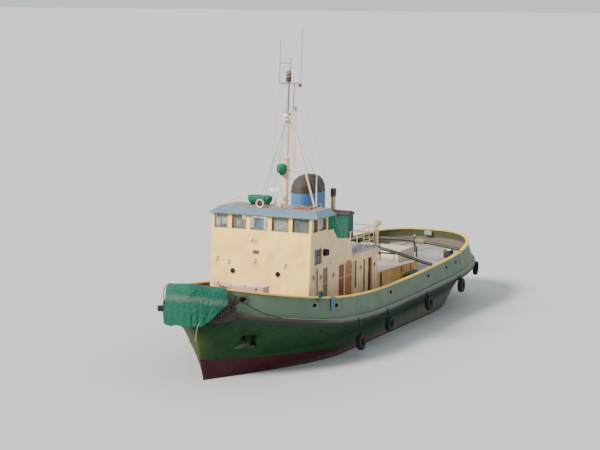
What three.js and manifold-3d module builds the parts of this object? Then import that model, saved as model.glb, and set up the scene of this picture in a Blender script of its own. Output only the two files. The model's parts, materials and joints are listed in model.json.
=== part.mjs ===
// Harbour tug of the 1960s, 29 m long over its fenders, afloat.
// Millimetres. +X is the bow, +Y is port, +Z is up; the origin is amidships on the waterline.

import * as THREE from 'three'
import { mergeVertices } from 'three/addons/utils/BufferGeometryUtils.js'
import Module from 'manifold-3d'

const wasm = await Module()
wasm.setup()

// Driving dimensions
const HULL_END = 14055 // bow and stern of the rail, from the origin
const BEAM_HALF = 3900
const BULWARK = 1000 // height of the rail over the deck
const RAIL_MID = 2805 // lowest rail, over the water
const SHEER_LOW_X = 1480
const SHEER_BOW = 1605
const SHEER_STERN = 658
const BOOT_TOP = 850 // upper edge of the red paint
const KEEL_Z = -3000
const GAP = 0.5 // between pieces that rest on each other
const FOOT = 7 // under pieces that stand on the curved deck
const CLEAR = 8 // round a piece that moves

const HOUSE_HALF = 2556
const WALL = 80
const FRONT_WALL = 100
const FRONT_X = 7680 // outer face of the house front at deck level
const FRONT_RAKE = 0.0755 // aft lean of the front, per unit of height
const FRONT_FOOT = 2200
const HOUSE_AFT = -400
const BOAT_DECK = 4420
const SILL = 5900
const WHEELHOUSE_TOP = 6620
const ROOF_TOP = 6930
const WHEELHOUSE_AFT = 5600
const CASING_AFT = -7300
const CASING_HALF = 2000

// Colours
const COLOUR = {
  bulwark: 0x64806e, topsides: 0x24503a, bottom: 0x4a1a1e, yellow: 0xd9b23a, belting: 0x2a2320,
  rubber: 0x1c1c1e, cream: 0xebd7aa, roof: 0x9fb0bf, funnel: 0x4c8bb8, funnelTop: 0x5b5048,
  canvas: 0x2c8a66, deck: 0xa8a5ac, bronze: 0x8a6b3a, olive: 0x7d8468, white: 0xe8e6dc,
  rust: 0x8a4a30, dark: 0x2b2a28, orange: 0xb8803c, glass: 0x6f8580, grey: 0x8a8a84,
}
const METAL = new Set(['bronze', 'dark'])

const tug = new THREE.Group()

function add(name, geometry, colour) {
  const material = new THREE.MeshStandardMaterial({
    color: COLOUR[colour], roughness: 0.6, metalness: METAL.has(colour) ? 0.6 : 0.0,
  })
  const mesh = new THREE.Mesh(geometry, material)
  mesh.name = name
  tug.add(mesh)
  return mesh
}

// Solids from vertices and triangles, faces turned outwards
function solid(points, triangles) {
  let volume = 0
  for (const [a, b, c] of triangles) {
    const [p, q, r] = [points[a], points[b], points[c]]
    volume += p[0] * (q[1] * r[2] - q[2] * r[1]) + p[1] * (q[2] * r[0] - q[0] * r[2]) +
      p[2] * (q[0] * r[1] - q[1] * r[0])
  }
  const index = []
  for (const [a, b, c] of triangles) index.push(...(volume > 0 ? [a, b, c] : [a, c, b]))
  const geometry = new THREE.BufferGeometry()
  geometry.setAttribute('position', new THREE.Float32BufferAttribute(points.flat(), 3))
  geometry.setIndex(index)
  geometry.computeVertexNormals()
  return geometry
}

// A body through closed rings of equal length, its first and last ring capped
function ringBody(rings, caps) {
  const n = rings[0].length
  const triangles = []
  for (let k = 0; k + 1 < rings.length; k++) {
    for (let i = 0; i < n; i++) {
      const a = k * n + i
      const b = k * n + (i + 1) % n
      triangles.push([a, b, b + n], [a, b + n, a + n])
    }
  }
  const last = (rings.length - 1) * n
  for (const [a, b, c] of caps) {
    triangles.push([a, c, b], [last + a, last + b, last + c])
  }
  return solid(rings.flat(), triangles)
}

// Triangles over a flat outline, wound the way the outline is
function capOf(outline) {
  const points = outline.map(([x, y]) => new THREE.Vector2(x, y))
  const triangles = THREE.ShapeUtils.triangulateShape(points, [])
  return THREE.ShapeUtils.isClockWise(points) ? triangles.map(([a, b, c]) => [a, c, b]) : triangles
}

// Joining and cutting
function toManifold(geometry) {
  const bare = geometry.clone()
  bare.deleteAttribute('normal')
  bare.deleteAttribute('uv')
  const merged = mergeVertices(bare, 0.01)
  const triangles = []
  for (let i = 0; i < merged.index.count; i += 3) {
    const [a, b, c] = [0, 1, 2].map((k) => merged.index.getX(i + k))
    if (a !== b && b !== c && c !== a) triangles.push(a, b, c)
  }
  return new wasm.Manifold(new wasm.Mesh({
    numProp: 3,
    vertProperties: merged.attributes.position.array,
    triVerts: new Uint32Array(triangles),
  }))
}

function fromManifold(body) {
  const mesh = body.getMesh()
  const geometry = new THREE.BufferGeometry()
  geometry.setAttribute('position', new THREE.Float32BufferAttribute(mesh.vertProperties, 3))
  geometry.setIndex(Array.from(mesh.triVerts))
  geometry.computeVertexNormals()
  return geometry
}

function join(geometries) {
  const bodies = geometries.map(toManifold)
  return fromManifold(bodies.reduce((whole, body) => whole.add(body)))
}

const within = (geometry, tool) =>
  fromManifold(toManifold(geometry).intersect(toManifold(tool)))

function cut(geometry, tools) {
  const bodies = tools.map(toManifold)
  return fromManifold(bodies.reduce((whole, body) => whole.subtract(body), toManifold(geometry)))
}

// Simple shapes
function box(x0, x1, y0, y1, z0, z1) {
  const geometry = new THREE.BoxGeometry(x1 - x0, y1 - y0, z1 - z0)
  return geometry.translate((x0 + x1) / 2, (y0 + y1) / 2, (z0 + z1) / 2)
}

function rod(from, to, radius, sides = 8, endRadius = radius) {
  const start = new THREE.Vector3(...from)
  const end = new THREE.Vector3(...to)
  const axis = end.clone().sub(start)
  const geometry = new THREE.CylinderGeometry(endRadius, radius, axis.length(), sides)
  const turn = new THREE.Quaternion().setFromUnitVectors(
    new THREE.Vector3(0, 1, 0), axis.clone().normalize())
  geometry.applyQuaternion(turn)
  const middle = start.add(end).multiplyScalar(0.5)
  return geometry.translate(middle.x, middle.y, middle.z)
}

// A bar of round section along a curve through a few points
function bar(points, radius, sides, steps) {
  const path = new THREE.CatmullRomCurve3(points.map((p) => new THREE.Vector3(...p)))
  const section = new THREE.Shape(Array.from({ length: sides }, (_, k) => new THREE.Vector2(
    radius * Math.cos(2 * Math.PI * k / sides), radius * Math.sin(2 * Math.PI * k / sides))))
  return new THREE.ExtrudeGeometry(section, { steps, extrudePath: path, bevelEnabled: false })
}

// A prism on a flat outline
function prism(outline, depth) {
  const shape = new THREE.Shape(outline.map(([a, b]) => new THREE.Vector2(a, b)))
  return new THREE.ExtrudeGeometry(shape, { depth, bevelEnabled: false })
}

// A plate from its side view (x, z), holes cut, between two values of y
function sidePlate(outline, holes, y0, y1) {
  const plate = prism(outline, y1 - y0).rotateX(Math.PI / 2).translate(0, y1, 0)
  return holes.length ? cut(plate, holes.map((hole) => sidePlate(hole, [], y0 - 20, y1 + 20))) : plate
}

// A plate from its end view (y, z), holes cut, between two values of x
function endPlate(outline, holes, x0, x1) {
  const turn = new THREE.Matrix4().makeBasis(new THREE.Vector3(0, 1, 0),
    new THREE.Vector3(0, 0, 1), new THREE.Vector3(1, 0, 0))
  const plate = prism(outline, x1 - x0).applyMatrix4(turn).translate(x0, 0, 0)
  return holes.length ? cut(plate, holes.map((hole) => endPlate(hole, [], x0 - 20, x1 + 20))) : plate
}

// A flat slab from its plan (x, y) between two heights
const planSlab = (outline, z0, z1) => prism(outline, z1 - z0).translate(0, 0, z0)

const rectangle = (a0, a1, b0, b1) => [[a0, b0], [a1, b0], [a1, b1], [a0, b1]]

// Lean of the house front
const frontX = (z) => FRONT_X - FRONT_RAKE * (z - FRONT_FOOT)
function lean(geometry) {
  const matrix = new THREE.Matrix4().set(
    1, 0, -FRONT_RAKE, FRONT_RAKE * FRONT_FOOT, 0, 1, 0, 0, 0, 0, 1, 0, 0, 0, 0, 1)
  return geometry.applyMatrix4(matrix)
}

// Sheer: height of the rail and of the deck along the ship
function railZ(x) {
  const reach = x > SHEER_LOW_X ? HULL_END - SHEER_LOW_X : HULL_END + SHEER_LOW_X
  const rise = x > SHEER_LOW_X ? SHEER_BOW : SHEER_STERN
  return RAIL_MID + rise * ((x - SHEER_LOW_X) / reach) ** 2
}
const deckZ = (x) => railZ(x) - BULWARK

// Hull lines, keel to deck. Each row: height, ends, half breadth, where the bow and the stern
// begin to close in, and the two powers of each of those curves.
const LINE_COLUMNS = ['z', 'bow', 'stern', 'half', 'bowFrom', 'bowP', 'bowQ',
  'sternFrom', 'sternP', 'sternQ']
const LINES = [
  [KEEL_Z, 9600, -10200, 160, 6000, 2, 1.5, -6000, 2, 1.5],
  [-2650, 10900, -10250, 1500, 2000, 1.6, 1.0, 0, 1.4, 0.75],
  [-1900, 11900, -10350, 2550, 3000, 1.6, 0.95, -1500, 1.4, 0.75],
  [-900, 12500, -10400, 2950, 4500, 1.55, 0.92, -3500, 1.5, 0.8],
  [-450, 12700, -10600, 3010, 5000, 1.55, 0.92, -4200, 1.6, 0.9],
  [-300, 12760, -11750, 3030, 5100, 1.54, 0.91, -4700, 2.2, 1.6],
  [0, 12890, -12090, 3060, 5270, 1.537, 0.91, -5136, 2.83, 2.5],
  [BOOT_TOP, 13110, -12900, 3330, 5400, 1.7, 1.05, -5136, 2.83, 2.76],
].map((row) => Object.fromEntries(row.map((value, i) => [LINE_COLUMNS[i], value])))
const DECK_LINE = {
  bow: HULL_END, stern: -HULL_END, half: BEAM_HALF, bowFrom: 5720, bowP: 2.153, bowQ: 1.434,
  sternFrom: -5136, sternP: 2.832, sternQ: 2.757,
}
const MIDDLE_LINE = {
  bow: 13360, stern: -13760, half: 3660, bowFrom: 5560, bowP: 1.9, bowQ: 1.22,
  sternFrom: -5136, sternP: 2.83, sternQ: 2.76,
}

function halfBreadth(line, x) {
  if (x > line.bowFrom) {
    const s = Math.min((x - line.bowFrom) / (line.bow - line.bowFrom), 1)
    return line.half * Math.max(1 - s ** line.bowP, 0) ** (1 / line.bowQ)
  }
  if (x < line.sternFrom) {
    const s = Math.min((line.sternFrom - x) / (line.sternFrom - line.stern), 1)
    return line.half * Math.max(1 - s ** line.sternP, 0) ** (1 / line.sternQ)
  }
  return line.half
}

const STATIONS = 30
const along = (line, t) => line.stern + (line.bow - line.stern) * (1 - Math.cos(Math.PI * t)) / 2

// One closed loop at a height: port side from stern to bow, then starboard back
function hullLoop(line, heightAt) {
  const loop = []
  for (let i = 0; i <= STATIONS; i++) {
    const x = along(line, i / STATIONS)
    const y = i === 0 || i === STATIONS ? 0 : halfBreadth(line, x)
    loop.push([x, y, heightAt(x)])
  }
  for (let i = STATIONS - 1; i > 0; i--) loop.push([loop[i][0], -loop[i][1], loop[i][2]])
  return loop
}

// The cap of a hull loop runs in strips straight across the ship
function hullCap() {
  const n = 2 * STATIONS
  const caps = [[0, 1, n - 1]]
  for (let i = 1; i < STATIONS - 1; i++) caps.push([i, i + 1, n - i], [i + 1, n - i - 1, n - i])
  caps.push([STATIONS - 1, STATIONS, STATIONS + 1])
  return caps
}

// Hull
const bottomLoops = LINES.map((line) => hullLoop(line, () => line.z))
const SHAFT_Z = -1750
add('hull_bottom', join([
  ringBody(bottomLoops, hullCap()),
  rod([-9300, 0, SHAFT_Z], [-10780, 0, SHAFT_Z], 260, 16, 190),
  box(-12750, 8800, -140, 140, KEEL_Z - 180, KEEL_Z + 20),
  box(-12750, -11750, -170, 170, KEEL_Z - 200, KEEL_Z - 20),
]), 'bottom')

// The bulwark leans inwards aft, so that the side stands out beyond the rail at the deck
const LEAN = { most: 320, from: -3000, to: -12000 }
function leanOut(x) {
  const t = Math.min(Math.max((LEAN.from - x) / (LEAN.from - LEAN.to), 0), 1)
  return LEAN.most * t * t * (3 - 2 * t)
}

// Place on the rail line and the outward direction there, t from 0 at the stern to 1 at the bow
function outlinePlace(t, side) {
  const here = along(DECK_LINE, t)
  const y = t <= 0 || t >= 1 ? 0 : halfBreadth(DECK_LINE, here)
  if (t <= 0 || t >= 1) return { x: here, y: 0, normal: [t <= 0 ? -1 : 1, 0] }
  const step = 1e-4
  const back = along(DECK_LINE, t - step)
  const ahead = along(DECK_LINE, t + step)
  const dx = ahead - back
  const dy = halfBreadth(DECK_LINE, ahead) - halfBreadth(DECK_LINE, back)
  const size = Math.hypot(dx, dy)
  return { x: here, y: side * y, normal: [-dy / size, side * dx / size] }
}
const stationTimes = (from, to, count) =>
  Array.from({ length: count + 1 }, (_, i) => from + (to - from) * i / count)

// Loop round the ship at the deck, inside the edge of the side by an inset
function deckLoop(inset, heightAt) {
  const places = stationTimes(0, 1, STATIONS).map((t) => outlinePlace(t, 1))
  const port = places.map(({ x, y, normal }) => {
    const out = leanOut(x) - inset
    const px = x + normal[0] * out
    return [px, Math.max(y + normal[1] * out, 0), heightAt(x, px)]
  })
  const starboard = port.slice(1, -1).reverse().map(([x, y, z]) => [x, -y, z])
  return port.concat(starboard)
}

const middleZ = (x) => (BOOT_TOP + deckZ(x)) / 2
const topsides = ringBody([
  bottomLoops[bottomLoops.length - 1],
  hullLoop(MIDDLE_LINE, middleZ),
  deckLoop(0, deckZ),
], hullCap())

// Anchor pocket on each bow: a recess with a sloping lip
const POCKET_X = 11650
function pocket(side) {
  const shape = new THREE.BoxGeometry(900, 1100, 560)
  shape.rotateZ(side * -0.42)
  return shape.translate(POCKET_X, side * 1780, 1680)
}
add('hull_topsides', cut(topsides, [pocket(1), pocket(-1)]), 'topsides')

// Bands that follow the rail line round the ship. A section is a list of (offset, height) pairs:
// the offset is outwards from the leaning side and the height is over the deck.
function band(places, section) {
  const rings = places.map(({ x, y, normal }) => section.map(([offset, height]) => {
    const out = offset + leanOut(x) * (1 - Math.min(Math.max(height / BULWARK, 0), 1))
    return [x + normal[0] * out, y + normal[1] * out, deckZ(x) + height]
  }))
  return ringBody(rings, capOf(section))
}

const sidePlaces = (side) => stationTimes(0, 1, STATIONS).map((t) => outlinePlace(t, side))

// Places round the bow from one side to the other, ending at the given x on each side
const timeAt = (x) => Math.acos(1 - 2 * (x + HULL_END) / (2 * HULL_END)) / Math.PI
function bowPlaces(portX, starboardX, count) {
  const port = stationTimes(timeAt(portX), 1, count).map((t) => outlinePlace(t, 1))
  const starboard = stationTimes(1, timeAt(starboardX), count).slice(1)
    .map((t) => outlinePlace(t, -1))
  return port.concat(starboard)
}

// Decks, laid inside the bulwarks in three lengths
const DECK_LENGTHS = { after_deck: [-HULL_END - LEAN.most, -6000], main_deck: [-6000, 7300],
  fore_deck: [7300, HULL_END] }
const DECK_JOINT = 0.3
const DECK_INSET = 70
const DECK_PLATE = 30
const DECK_LIFT = 4
const floorZ = (x) => deckZ(x) + DECK_LIFT + DECK_PLATE
const decks = ringBody([
  deckLoop(DECK_INSET, (x, px) => deckZ(px) + DECK_LIFT),
  deckLoop(DECK_INSET, (x, px) => floorZ(px)),
], hullCap())
const DECK_REACH = BEAM_HALF + LEAN.most
for (const [name, [after, fore]] of Object.entries(DECK_LENGTHS)) {
  add(name, within(decks, box(after + DECK_JOINT / 2, fore - DECK_JOINT / 2,
    -DECK_REACH, DECK_REACH, 0, RAIL_MID + SHEER_BOW)), 'deck')
}

// Tyre fenders, hung over the belting: place along the ship, height of the centre over the water
const TYRE_COLUMNS = ['x', 'z']
const TYRES = [
  [5300, 725], [1800, 1000], [-3400, 1180], [-7800, 1450], [-12600, 1580],
].map((row) => Object.fromEntries(row.map((value, i) => [TYRE_COLUMNS[i], value])))
const TYRE_RING = 275
const TYRE_TUBE = 100
const TYRE_OFFSET = 262
function tyresOn(side) {
  const pieces = []
  for (const tyre of TYRES) {
    const place = outlinePlace(timeAt(tyre.x), side)
    const turn = Math.atan2(place.normal[1], place.normal[0]) - Math.PI / 2
    const at = (offset, z) => {
      const out = offset + leanOut(tyre.x)
      return [place.x + place.normal[0] * out, place.y + place.normal[1] * out, z]
    }
    const ring = new THREE.TorusGeometry(TYRE_RING, TYRE_TUBE, 8, 20)
    ring.rotateX(Math.PI / 2).rotateZ(turn)
    pieces.push(ring.translate(...at(TYRE_OFFSET, tyre.z)))
    pieces.push(bar([at(TYRE_OFFSET - 40, tyre.z + TYRE_RING), at(140, deckZ(tyre.x) - 250),
      at(105, deckZ(tyre.x) - 70)], 25, 5, 4))
  }
  return pieces
}

// Bulwarks, with the rope ports that show on each side
const BULWARK_PLATE = 50
const CAP_RAIL = 65
const PORT_COLUMNS = ['x', 'width', 'height']
const ROPE_PORTS = [
  [12650, 420, 230], [9050, 330, 200], [7350, 330, 200], [1100, 330, 200],
  [-3900, 330, 200], [-6400, 330, 200], [-7900, 330, 200],
].map((row) => Object.fromEntries(row.map((value, i) => [PORT_COLUMNS[i], value])))
for (const [name, side] of [['port', 1], ['starboard', -1]]) {
  const places = sidePlaces(side)
  const plate = band(places, [[0, GAP], [0, BULWARK - CAP_RAIL - 6],
    [-BULWARK_PLATE, BULWARK - CAP_RAIL - 6], [-BULWARK_PLATE, GAP]])
  const tools = ROPE_PORTS.map(({ x, width, height }) => {
    const y = side * halfBreadth(DECK_LINE, x)
    const place = outlinePlace(timeAt(x), side)
    const tool = new THREE.CylinderGeometry(height / 2, height / 2, 400, 12)
    tool.scale(width / height, 1, 1)
    tool.rotateZ(Math.atan2(place.normal[1], place.normal[0]) - Math.PI / 2)
    return tool.translate(x, y, railZ(x) - 400)
  })
  add(`bulwark_${name}`, cut(plate, tools), 'bulwark')
  add(`cap_rail_${name}`, band(places, [[60, BULWARK - CAP_RAIL], [60, BULWARK],
    [-110, BULWARK], [-110, BULWARK - CAP_RAIL]]), 'yellow')
  const belting = band(places, [[1, -10], [110, -10], [130, -40], [130, -270], [70, -350],
    [-60, -350]])
  add(`belting_${name}`, join([belting, ...tyresOn(side)]), 'belting')
}

// Bow fender and the canvas over it
const STUB_X = 12900
const stubPlace = outlinePlace(timeAt(STUB_X), -1)
const onStub = (offset) => [stubPlace.x + stubPlace.normal[0] * offset,
  stubPlace.y + stubPlace.normal[1] * offset, deckZ(STUB_X) - 60]
add('bow_fender', join([
  band(bowPlaces(12950, 12450, 12), [[140, 200], [180, 300], [245, 300], [285, 200], [292, -300],
    [250, -520], [180, -560], [140, -480]]),
  rod(onStub(220), onStub(600), 135, 14),
]), 'rubber')
const TARP_SECTION = [[90, 985], [160, 985], [270, 880], [330, 640], [350, 250], [345, -690],
  [312, -690], [317, 250], [298, 620], [243, 850], [150, 940], [90, 940]]
add('bow_tarp', band(bowPlaces(13250, 13200, 12), TARP_SECTION), 'canvas')

// Propeller and rudder
const PROPELLER_X = -11000
const blades = [rod([PROPELLER_X + 200, 0, SHAFT_Z], [PROPELLER_X - 200, 0, SHAFT_Z], 170, 16, 110)]
for (let i = 0; i < 4; i++) {
  const blade = new THREE.SphereGeometry(1, 10, 6)
  blade.scale(38, 330, 520)
  blade.rotateZ(0.5)
  blade.translate(0, 0, 590)
  blade.rotateX(Math.PI / 2 * i)
  blades.push(blade.translate(PROPELLER_X, 0, SHAFT_Z))
}
add('propeller', join(blades), 'bronze')

const RUDDER_X = -12000
const rudderOutline = [[RUDDER_X + 330, 0], [RUDDER_X + 230, 95], [RUDDER_X, 130],
  [RUDDER_X - 500, 100], [RUDDER_X - 1250, 20], [RUDDER_X - 1250, -20], [RUDDER_X - 500, -100],
  [RUDDER_X, -130], [RUDDER_X + 230, -95]]
add('rudder', join([
  planSlab(rudderOutline, -2955, -620),
  rod([RUDDER_X, 0, -700], [RUDDER_X, 0, -260], 100, 14),
  rod([RUDDER_X, 0, -280], [RUDDER_X, 0, -150], 60, 14),
]), 'bottom')

// House walls. Openings are (x0, x1, z0, z1) or (y0, y1, z0, z1).
const SCREEN_TOP = 5200
const STEP_X = 2730
function housePolygon() {
  const foot = [7000, 5600, 4200, 2800, 1400, 0].map((x) => [x, floorZ(x) + FOOT])
  const innerFront = (z) => frontX(z) - FRONT_WALL - GAP
  return [
    [innerFront(floorZ(7600)) - 2, floorZ(7600) + FOOT], ...foot, [HOUSE_AFT, floorZ(HOUSE_AFT) + FOOT],
    [HOUSE_AFT, BOAT_DECK - 80 - GAP], [STEP_X - GAP, BOAT_DECK - 80 - GAP],
    [STEP_X - GAP, BOAT_DECK + 60], [STEP_X + 320, SCREEN_TOP], [4500, 5370], [4970, 5855],
    [WHEELHOUSE_AFT - 40, 5870], [WHEELHOUSE_AFT - 40, WHEELHOUSE_TOP],
    [innerFront(WHEELHOUSE_TOP), WHEELHOUSE_TOP],
  ]
}
const DOOR_COLUMNS = ['name', 'aft', 'fore', 'foot', 'head', 'colour', 'arched']
const DOORS = [
  ['fore', 5600, 6080, 2150, 4130, 'grey', false],
  ['middle', 3720, 4300, 2030, 4040, 'rust', false],
  ['after', 2800, 3560, 1990, 4140, 'orange', true],
].map((row) => Object.fromEntries(row.map((value, i) => [DOOR_COLUMNS[i], value])))
const OPEN_DOORWAY = [330, 820, 2010, 3950]
const SIDE_PANES = [[6690, 7180, 5935, 6560], [5745, 6560, 5935, 6560]]
const LOWER_WINDOW = [6270, 7080, 4430, 5140]

function doorOutline(door, grow) {
  const [a, f, b, h] = [door.aft - grow, door.fore + grow, door.foot - grow, door.head + grow]
  if (!door.arched) return rectangle(a, f, b, h)
  const rise = 190
  const points = [[a, b], [f, b]]
  for (let i = 0; i <= 8; i++) {
    const angle = Math.PI * i / 8
    points.push([(a + f) / 2 + (f - a) / 2 * Math.cos(angle), h - rise + rise * Math.sin(angle)])
  }
  return points
}

const LEAF = 55
for (const [name, side, doors] of [['port', 1, DOORS], ['starboard', -1, DOORS.slice(1)]]) {
  const holes = doors.map((door) => doorOutline(door, CLEAR))
  holes.push(rectangle(...OPEN_DOORWAY), rectangle(...LOWER_WINDOW))
  for (const pane of SIDE_PANES) holes.push(rectangle(...pane))
  const [y0, y1] = side > 0 ? [HOUSE_HALF - WALL, HOUSE_HALF] : [-HOUSE_HALF, WALL - HOUSE_HALF]
  add(`house_${name}`, sidePlate(housePolygon(), holes, y0, y1), 'cream')
  for (const door of doors) {
    const [leaf0, leaf1] = side > 0 ? [HOUSE_HALF - LEAF, HOUSE_HALF] : [-HOUSE_HALF, LEAF - HOUSE_HALF]
    add(`door_${door.name}_${name}`, sidePlate(doorOutline(door, 0), [], leaf0, leaf1), door.colour)
  }
}

// House front: five panes in a row over a plain wall
const FRONT_PANES = [[-2430, -1750], [-1530, -780], [-560, 330], [530, 1400], [1580, 2440]]
const PANE_HEAD = 6575
const frontHoles = FRONT_PANES.map(([y0, y1]) => rectangle(y0, y1, SILL + 25, PANE_HEAD))
const frontFoot = floorZ(7700) + FOOT
add('house_front', lean(endPlate(
  rectangle(-HOUSE_HALF, HOUSE_HALF, frontFoot, WHEELHOUSE_TOP), frontHoles,
  FRONT_X - FRONT_WALL, FRONT_X)), 'cream')

add('house_aft', endPlate(
  rectangle(WALL - HOUSE_HALF + GAP, HOUSE_HALF - WALL - GAP, floorZ(HOUSE_AFT) + FOOT,
    BOAT_DECK - 80 - GAP), [rectangle(-400, 400, 2990, 3900)],
  HOUSE_AFT, HOUSE_AFT + WALL), 'cream')

// Boat deck, over the walls aft and between the screens forward
const SCREEN_INNER = HOUSE_HALF - WALL - GAP
const boatDeckFront = frontX(BOAT_DECK) - FRONT_WALL - 12
add('boat_deck', planSlab([
  [HOUSE_AFT - 60, -HOUSE_HALF - 40], [STEP_X - 3, -HOUSE_HALF - 40], [STEP_X - 3, -SCREEN_INNER],
  [boatDeckFront, -SCREEN_INNER], [boatDeckFront, SCREEN_INNER], [STEP_X - 3, SCREEN_INNER],
  [STEP_X - 3, HOUSE_HALF + 40], [HOUSE_AFT - 60, HOUSE_HALF + 40]],
BOAT_DECK - 80, BOAT_DECK), 'deck')

// Wheelhouse
const WH_DOOR = { y0: 1000, y1: 1680, z0: BOAT_DECK + 110, z1: 6350 }
add('wheelhouse_aft', endPlate(
  rectangle(-SCREEN_INNER, SCREEN_INNER, BOAT_DECK + GAP, WHEELHOUSE_TOP),
  [rectangle(WH_DOOR.y0 - CLEAR, WH_DOOR.y1 + CLEAR, WH_DOOR.z0 - CLEAR, WH_DOOR.z1 + CLEAR),
    rectangle(-1900, -500, 5700, 6400)],
  WHEELHOUSE_AFT, WHEELHOUSE_AFT + 70), 'cream')
add('wheelhouse_door', box(WHEELHOUSE_AFT, WHEELHOUSE_AFT + 50, WH_DOOR.y0, WH_DOOR.y1,
  WH_DOOR.z0, WH_DOOR.z1), 'cream')

const EAVE = { front: 7560, port: 2980, starboard: -2620 }
const CROWN = { front: 7200, port: 2640, starboard: -2260 }
const EAVE_PLATE = 45
const roofRing = ({ front, port, starboard }, z) =>
  rectangle(WHEELHOUSE_AFT - 20, front, starboard, port).map(([x, y]) => [x, y, z])
add('wheelhouse_roof', ringBody([
  roofRing(EAVE, WHEELHOUSE_TOP + GAP), roofRing(EAVE, WHEELHOUSE_TOP + EAVE_PLATE),
  roofRing(CROWN, ROOF_TOP),
], capOf(rectangle(0, 1, 0, 1))), 'roof')

// Glass: one band inside the front and the sides
const glassFront = FRONT_X - FRONT_WALL - 4
const glassSide = HOUSE_HALF - WALL - 4
add('wheelhouse_glass', lean(planSlab([
  [6030, -glassSide], [glassFront, -glassSide], [glassFront, glassSide], [6030, glassSide],
  [6030, glassSide - 14], [glassFront - 14, glassSide - 14], [glassFront - 14, 14 - glassSide],
  [6030, 14 - glassSide]], SILL - 30, WHEELHOUSE_TOP - 10)), 'glass')

add('helm', join([
  box(6500, 7050, -900, 1100, BOAT_DECK + GAP, 5550),
  rod([6460, 100, 5400], [6520, 100, 5400], 60, 10),
  rod([6400, 100, 5400], [6440, 100, 5400], 330, 20),
  rod([6430, 100, 5400], [6470, 100, 5400], 40, 10),
]), 'dark')

// Roof fittings
const HATCH = { x0: 6020, x1: 6680, y0: 1250, y1: 2150 }
add('roof_hatch', box(HATCH.x0, HATCH.x1, HATCH.y0, HATCH.y1, ROOF_TOP + 8, ROOF_TOP + 75), 'rust')

const HORN = new THREE.Vector3(7000, -170, 7140)
const hornProfile = [[0, 0], [55, 0], [60, 150], [95, 260], [200, 360], [185, 372], [80, 275],
  [0, 250]].map(([r, s]) => new THREE.Vector2(r, s))
const horn = new THREE.LatheGeometry(hornProfile, 16)
horn.rotateZ(-Math.PI / 2)
horn.translate(HORN.x - 150, HORN.y, HORN.z)
add('horn', join([horn, rod([HORN.x - 90, HORN.y, ROOF_TOP + GAP], [HORN.x - 90, HORN.y, HORN.z], 30),
  box(HORN.x - 190, HORN.x + 10, HORN.y - 90, HORN.y + 90, ROOF_TOP + GAP, ROOF_TOP + 25)]), 'cream')

const SCANNER = { x: 5750, y: -80, z: 7550 }
add('scanner_post', join([
  rod([SCANNER.x, SCANNER.y, ROOF_TOP + GAP], [SCANNER.x, SCANNER.y, SCANNER.z - 60], 45, 10),
  rod([SCANNER.x, SCANNER.y, ROOF_TOP + GAP], [SCANNER.x, SCANNER.y, ROOF_TOP + 25], 110, 12),
]), 'white')
add('scanner', join([
  rod([SCANNER.x, SCANNER.y, SCANNER.z - 50], [SCANNER.x, SCANNER.y, SCANNER.z + 40], 90, 12),
  box(SCANNER.x - 60, SCANNER.x + 60, SCANNER.y - 240, SCANNER.y + 240, SCANNER.z + 20,
    SCANNER.z + 150),
]), 'white')

const RAFT = new THREE.Vector3(6050, -740, ROOF_TOP + 260)
const raft = new THREE.SphereGeometry(1, 16, 10)
raft.scale(300, 660, 250)
add('covered_raft', raft.translate(RAFT.x, RAFT.y, RAFT.z), 'canvas')

// Funnel and the pipe abaft it
const FUNNEL = { x: 2340, a: 1200, b: 720, blueTop: 7280 }
const funnelRing = (z, scale, shift = 0) => Array.from({ length: 28 }, (_, i) => [
  FUNNEL.x + shift + scale * FUNNEL.a * Math.cos(2 * Math.PI * i / 28),
  scale * FUNNEL.b * Math.sin(2 * Math.PI * i / 28), z])
const funnelCap = capOf(funnelRing(0, 1).map(([x, y]) => [x, y]))
add('funnel', ringBody([funnelRing(BOAT_DECK + GAP, 1), funnelRing(FUNNEL.blueTop, 1)], funnelCap),
  'funnel')
add('funnel_top', ringBody([
  funnelRing(FUNNEL.blueTop + GAP, 1), funnelRing(7560, 0.97), funnelRing(7810, 0.84, -30),
  funnelRing(7970, 0.62, -70), funnelRing(8060, 0.3, -100)], funnelCap), 'funnelTop')
add('exhaust_pipe', join([
  rod([1100, 780, BOAT_DECK + GAP], [1100, 780, 7000], 115, 14),
  rod([1100, 780, 6960], [1100, 780, 7300], 140, 14),
]), 'cream')

// Green deck locker with its dark sloping top
add('deck_locker', box(1440, 2090, 900, 2000, BOAT_DECK + GAP, 6150), 'canvas')
add('locker_top', sidePlate([[1380, 6150 + GAP], [2150, 6150 + GAP], [2150, 6200], [1700, 6340],
  [1380, 6230]], [], 850, 2060), 'funnelTop')

// Mast: a raked tube, a ladder beside it, a port strut and the yards. Each member is
// (from, to, radius, sides).
const mastX = (z) => 5050 - 0.059 * (z - BOAT_DECK)
const onMast = (y, z) => [mastX(z), y, z]
const YARD_Z = 12550
const mastMembers = [
  [onMast(0, BOAT_DECK + 20), onMast(0, 9030), 140, 14],
  [onMast(0, 8990), onMast(0, 9060), 190, 14],
  [onMast(0, 9030), onMast(0, 10900), 90, 12],
  [onMast(0, 10850), onMast(0, YARD_Z + 60), 45, 8],
  [onMast(400, 8380), onMast(400, 11350), 40, 8],
  [onMast(280, 11100), onMast(280, YARD_Z), 28, 6],
  [onMast(0, 11130), onMast(420, 11130), 30, 6],
  [onMast(0, 8460), onMast(1080, 8460), 40, 8],
  [onMast(-520, YARD_Z), onMast(640, YARD_Z), 32, 8],
  [onMast(0, YARD_Z + 40), onMast(0, 13200), 22, 6],
  [onMast(-500, 13480), onMast(60, 13480), 16, 6],
  [onMast(40, 13100), onMast(40, 13720), 18, 6],
  [onMast(-500, YARD_Z), onMast(-500, 14600), 14, 6],
  [onMast(620, YARD_Z), onMast(620, 15110), 14, 6],
]
for (let z = 8800; z < 11100; z += 380) mastMembers.push([onMast(0, z), onMast(400, z), 20, 6])
const strutHead = onMast(430, 10250)
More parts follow.
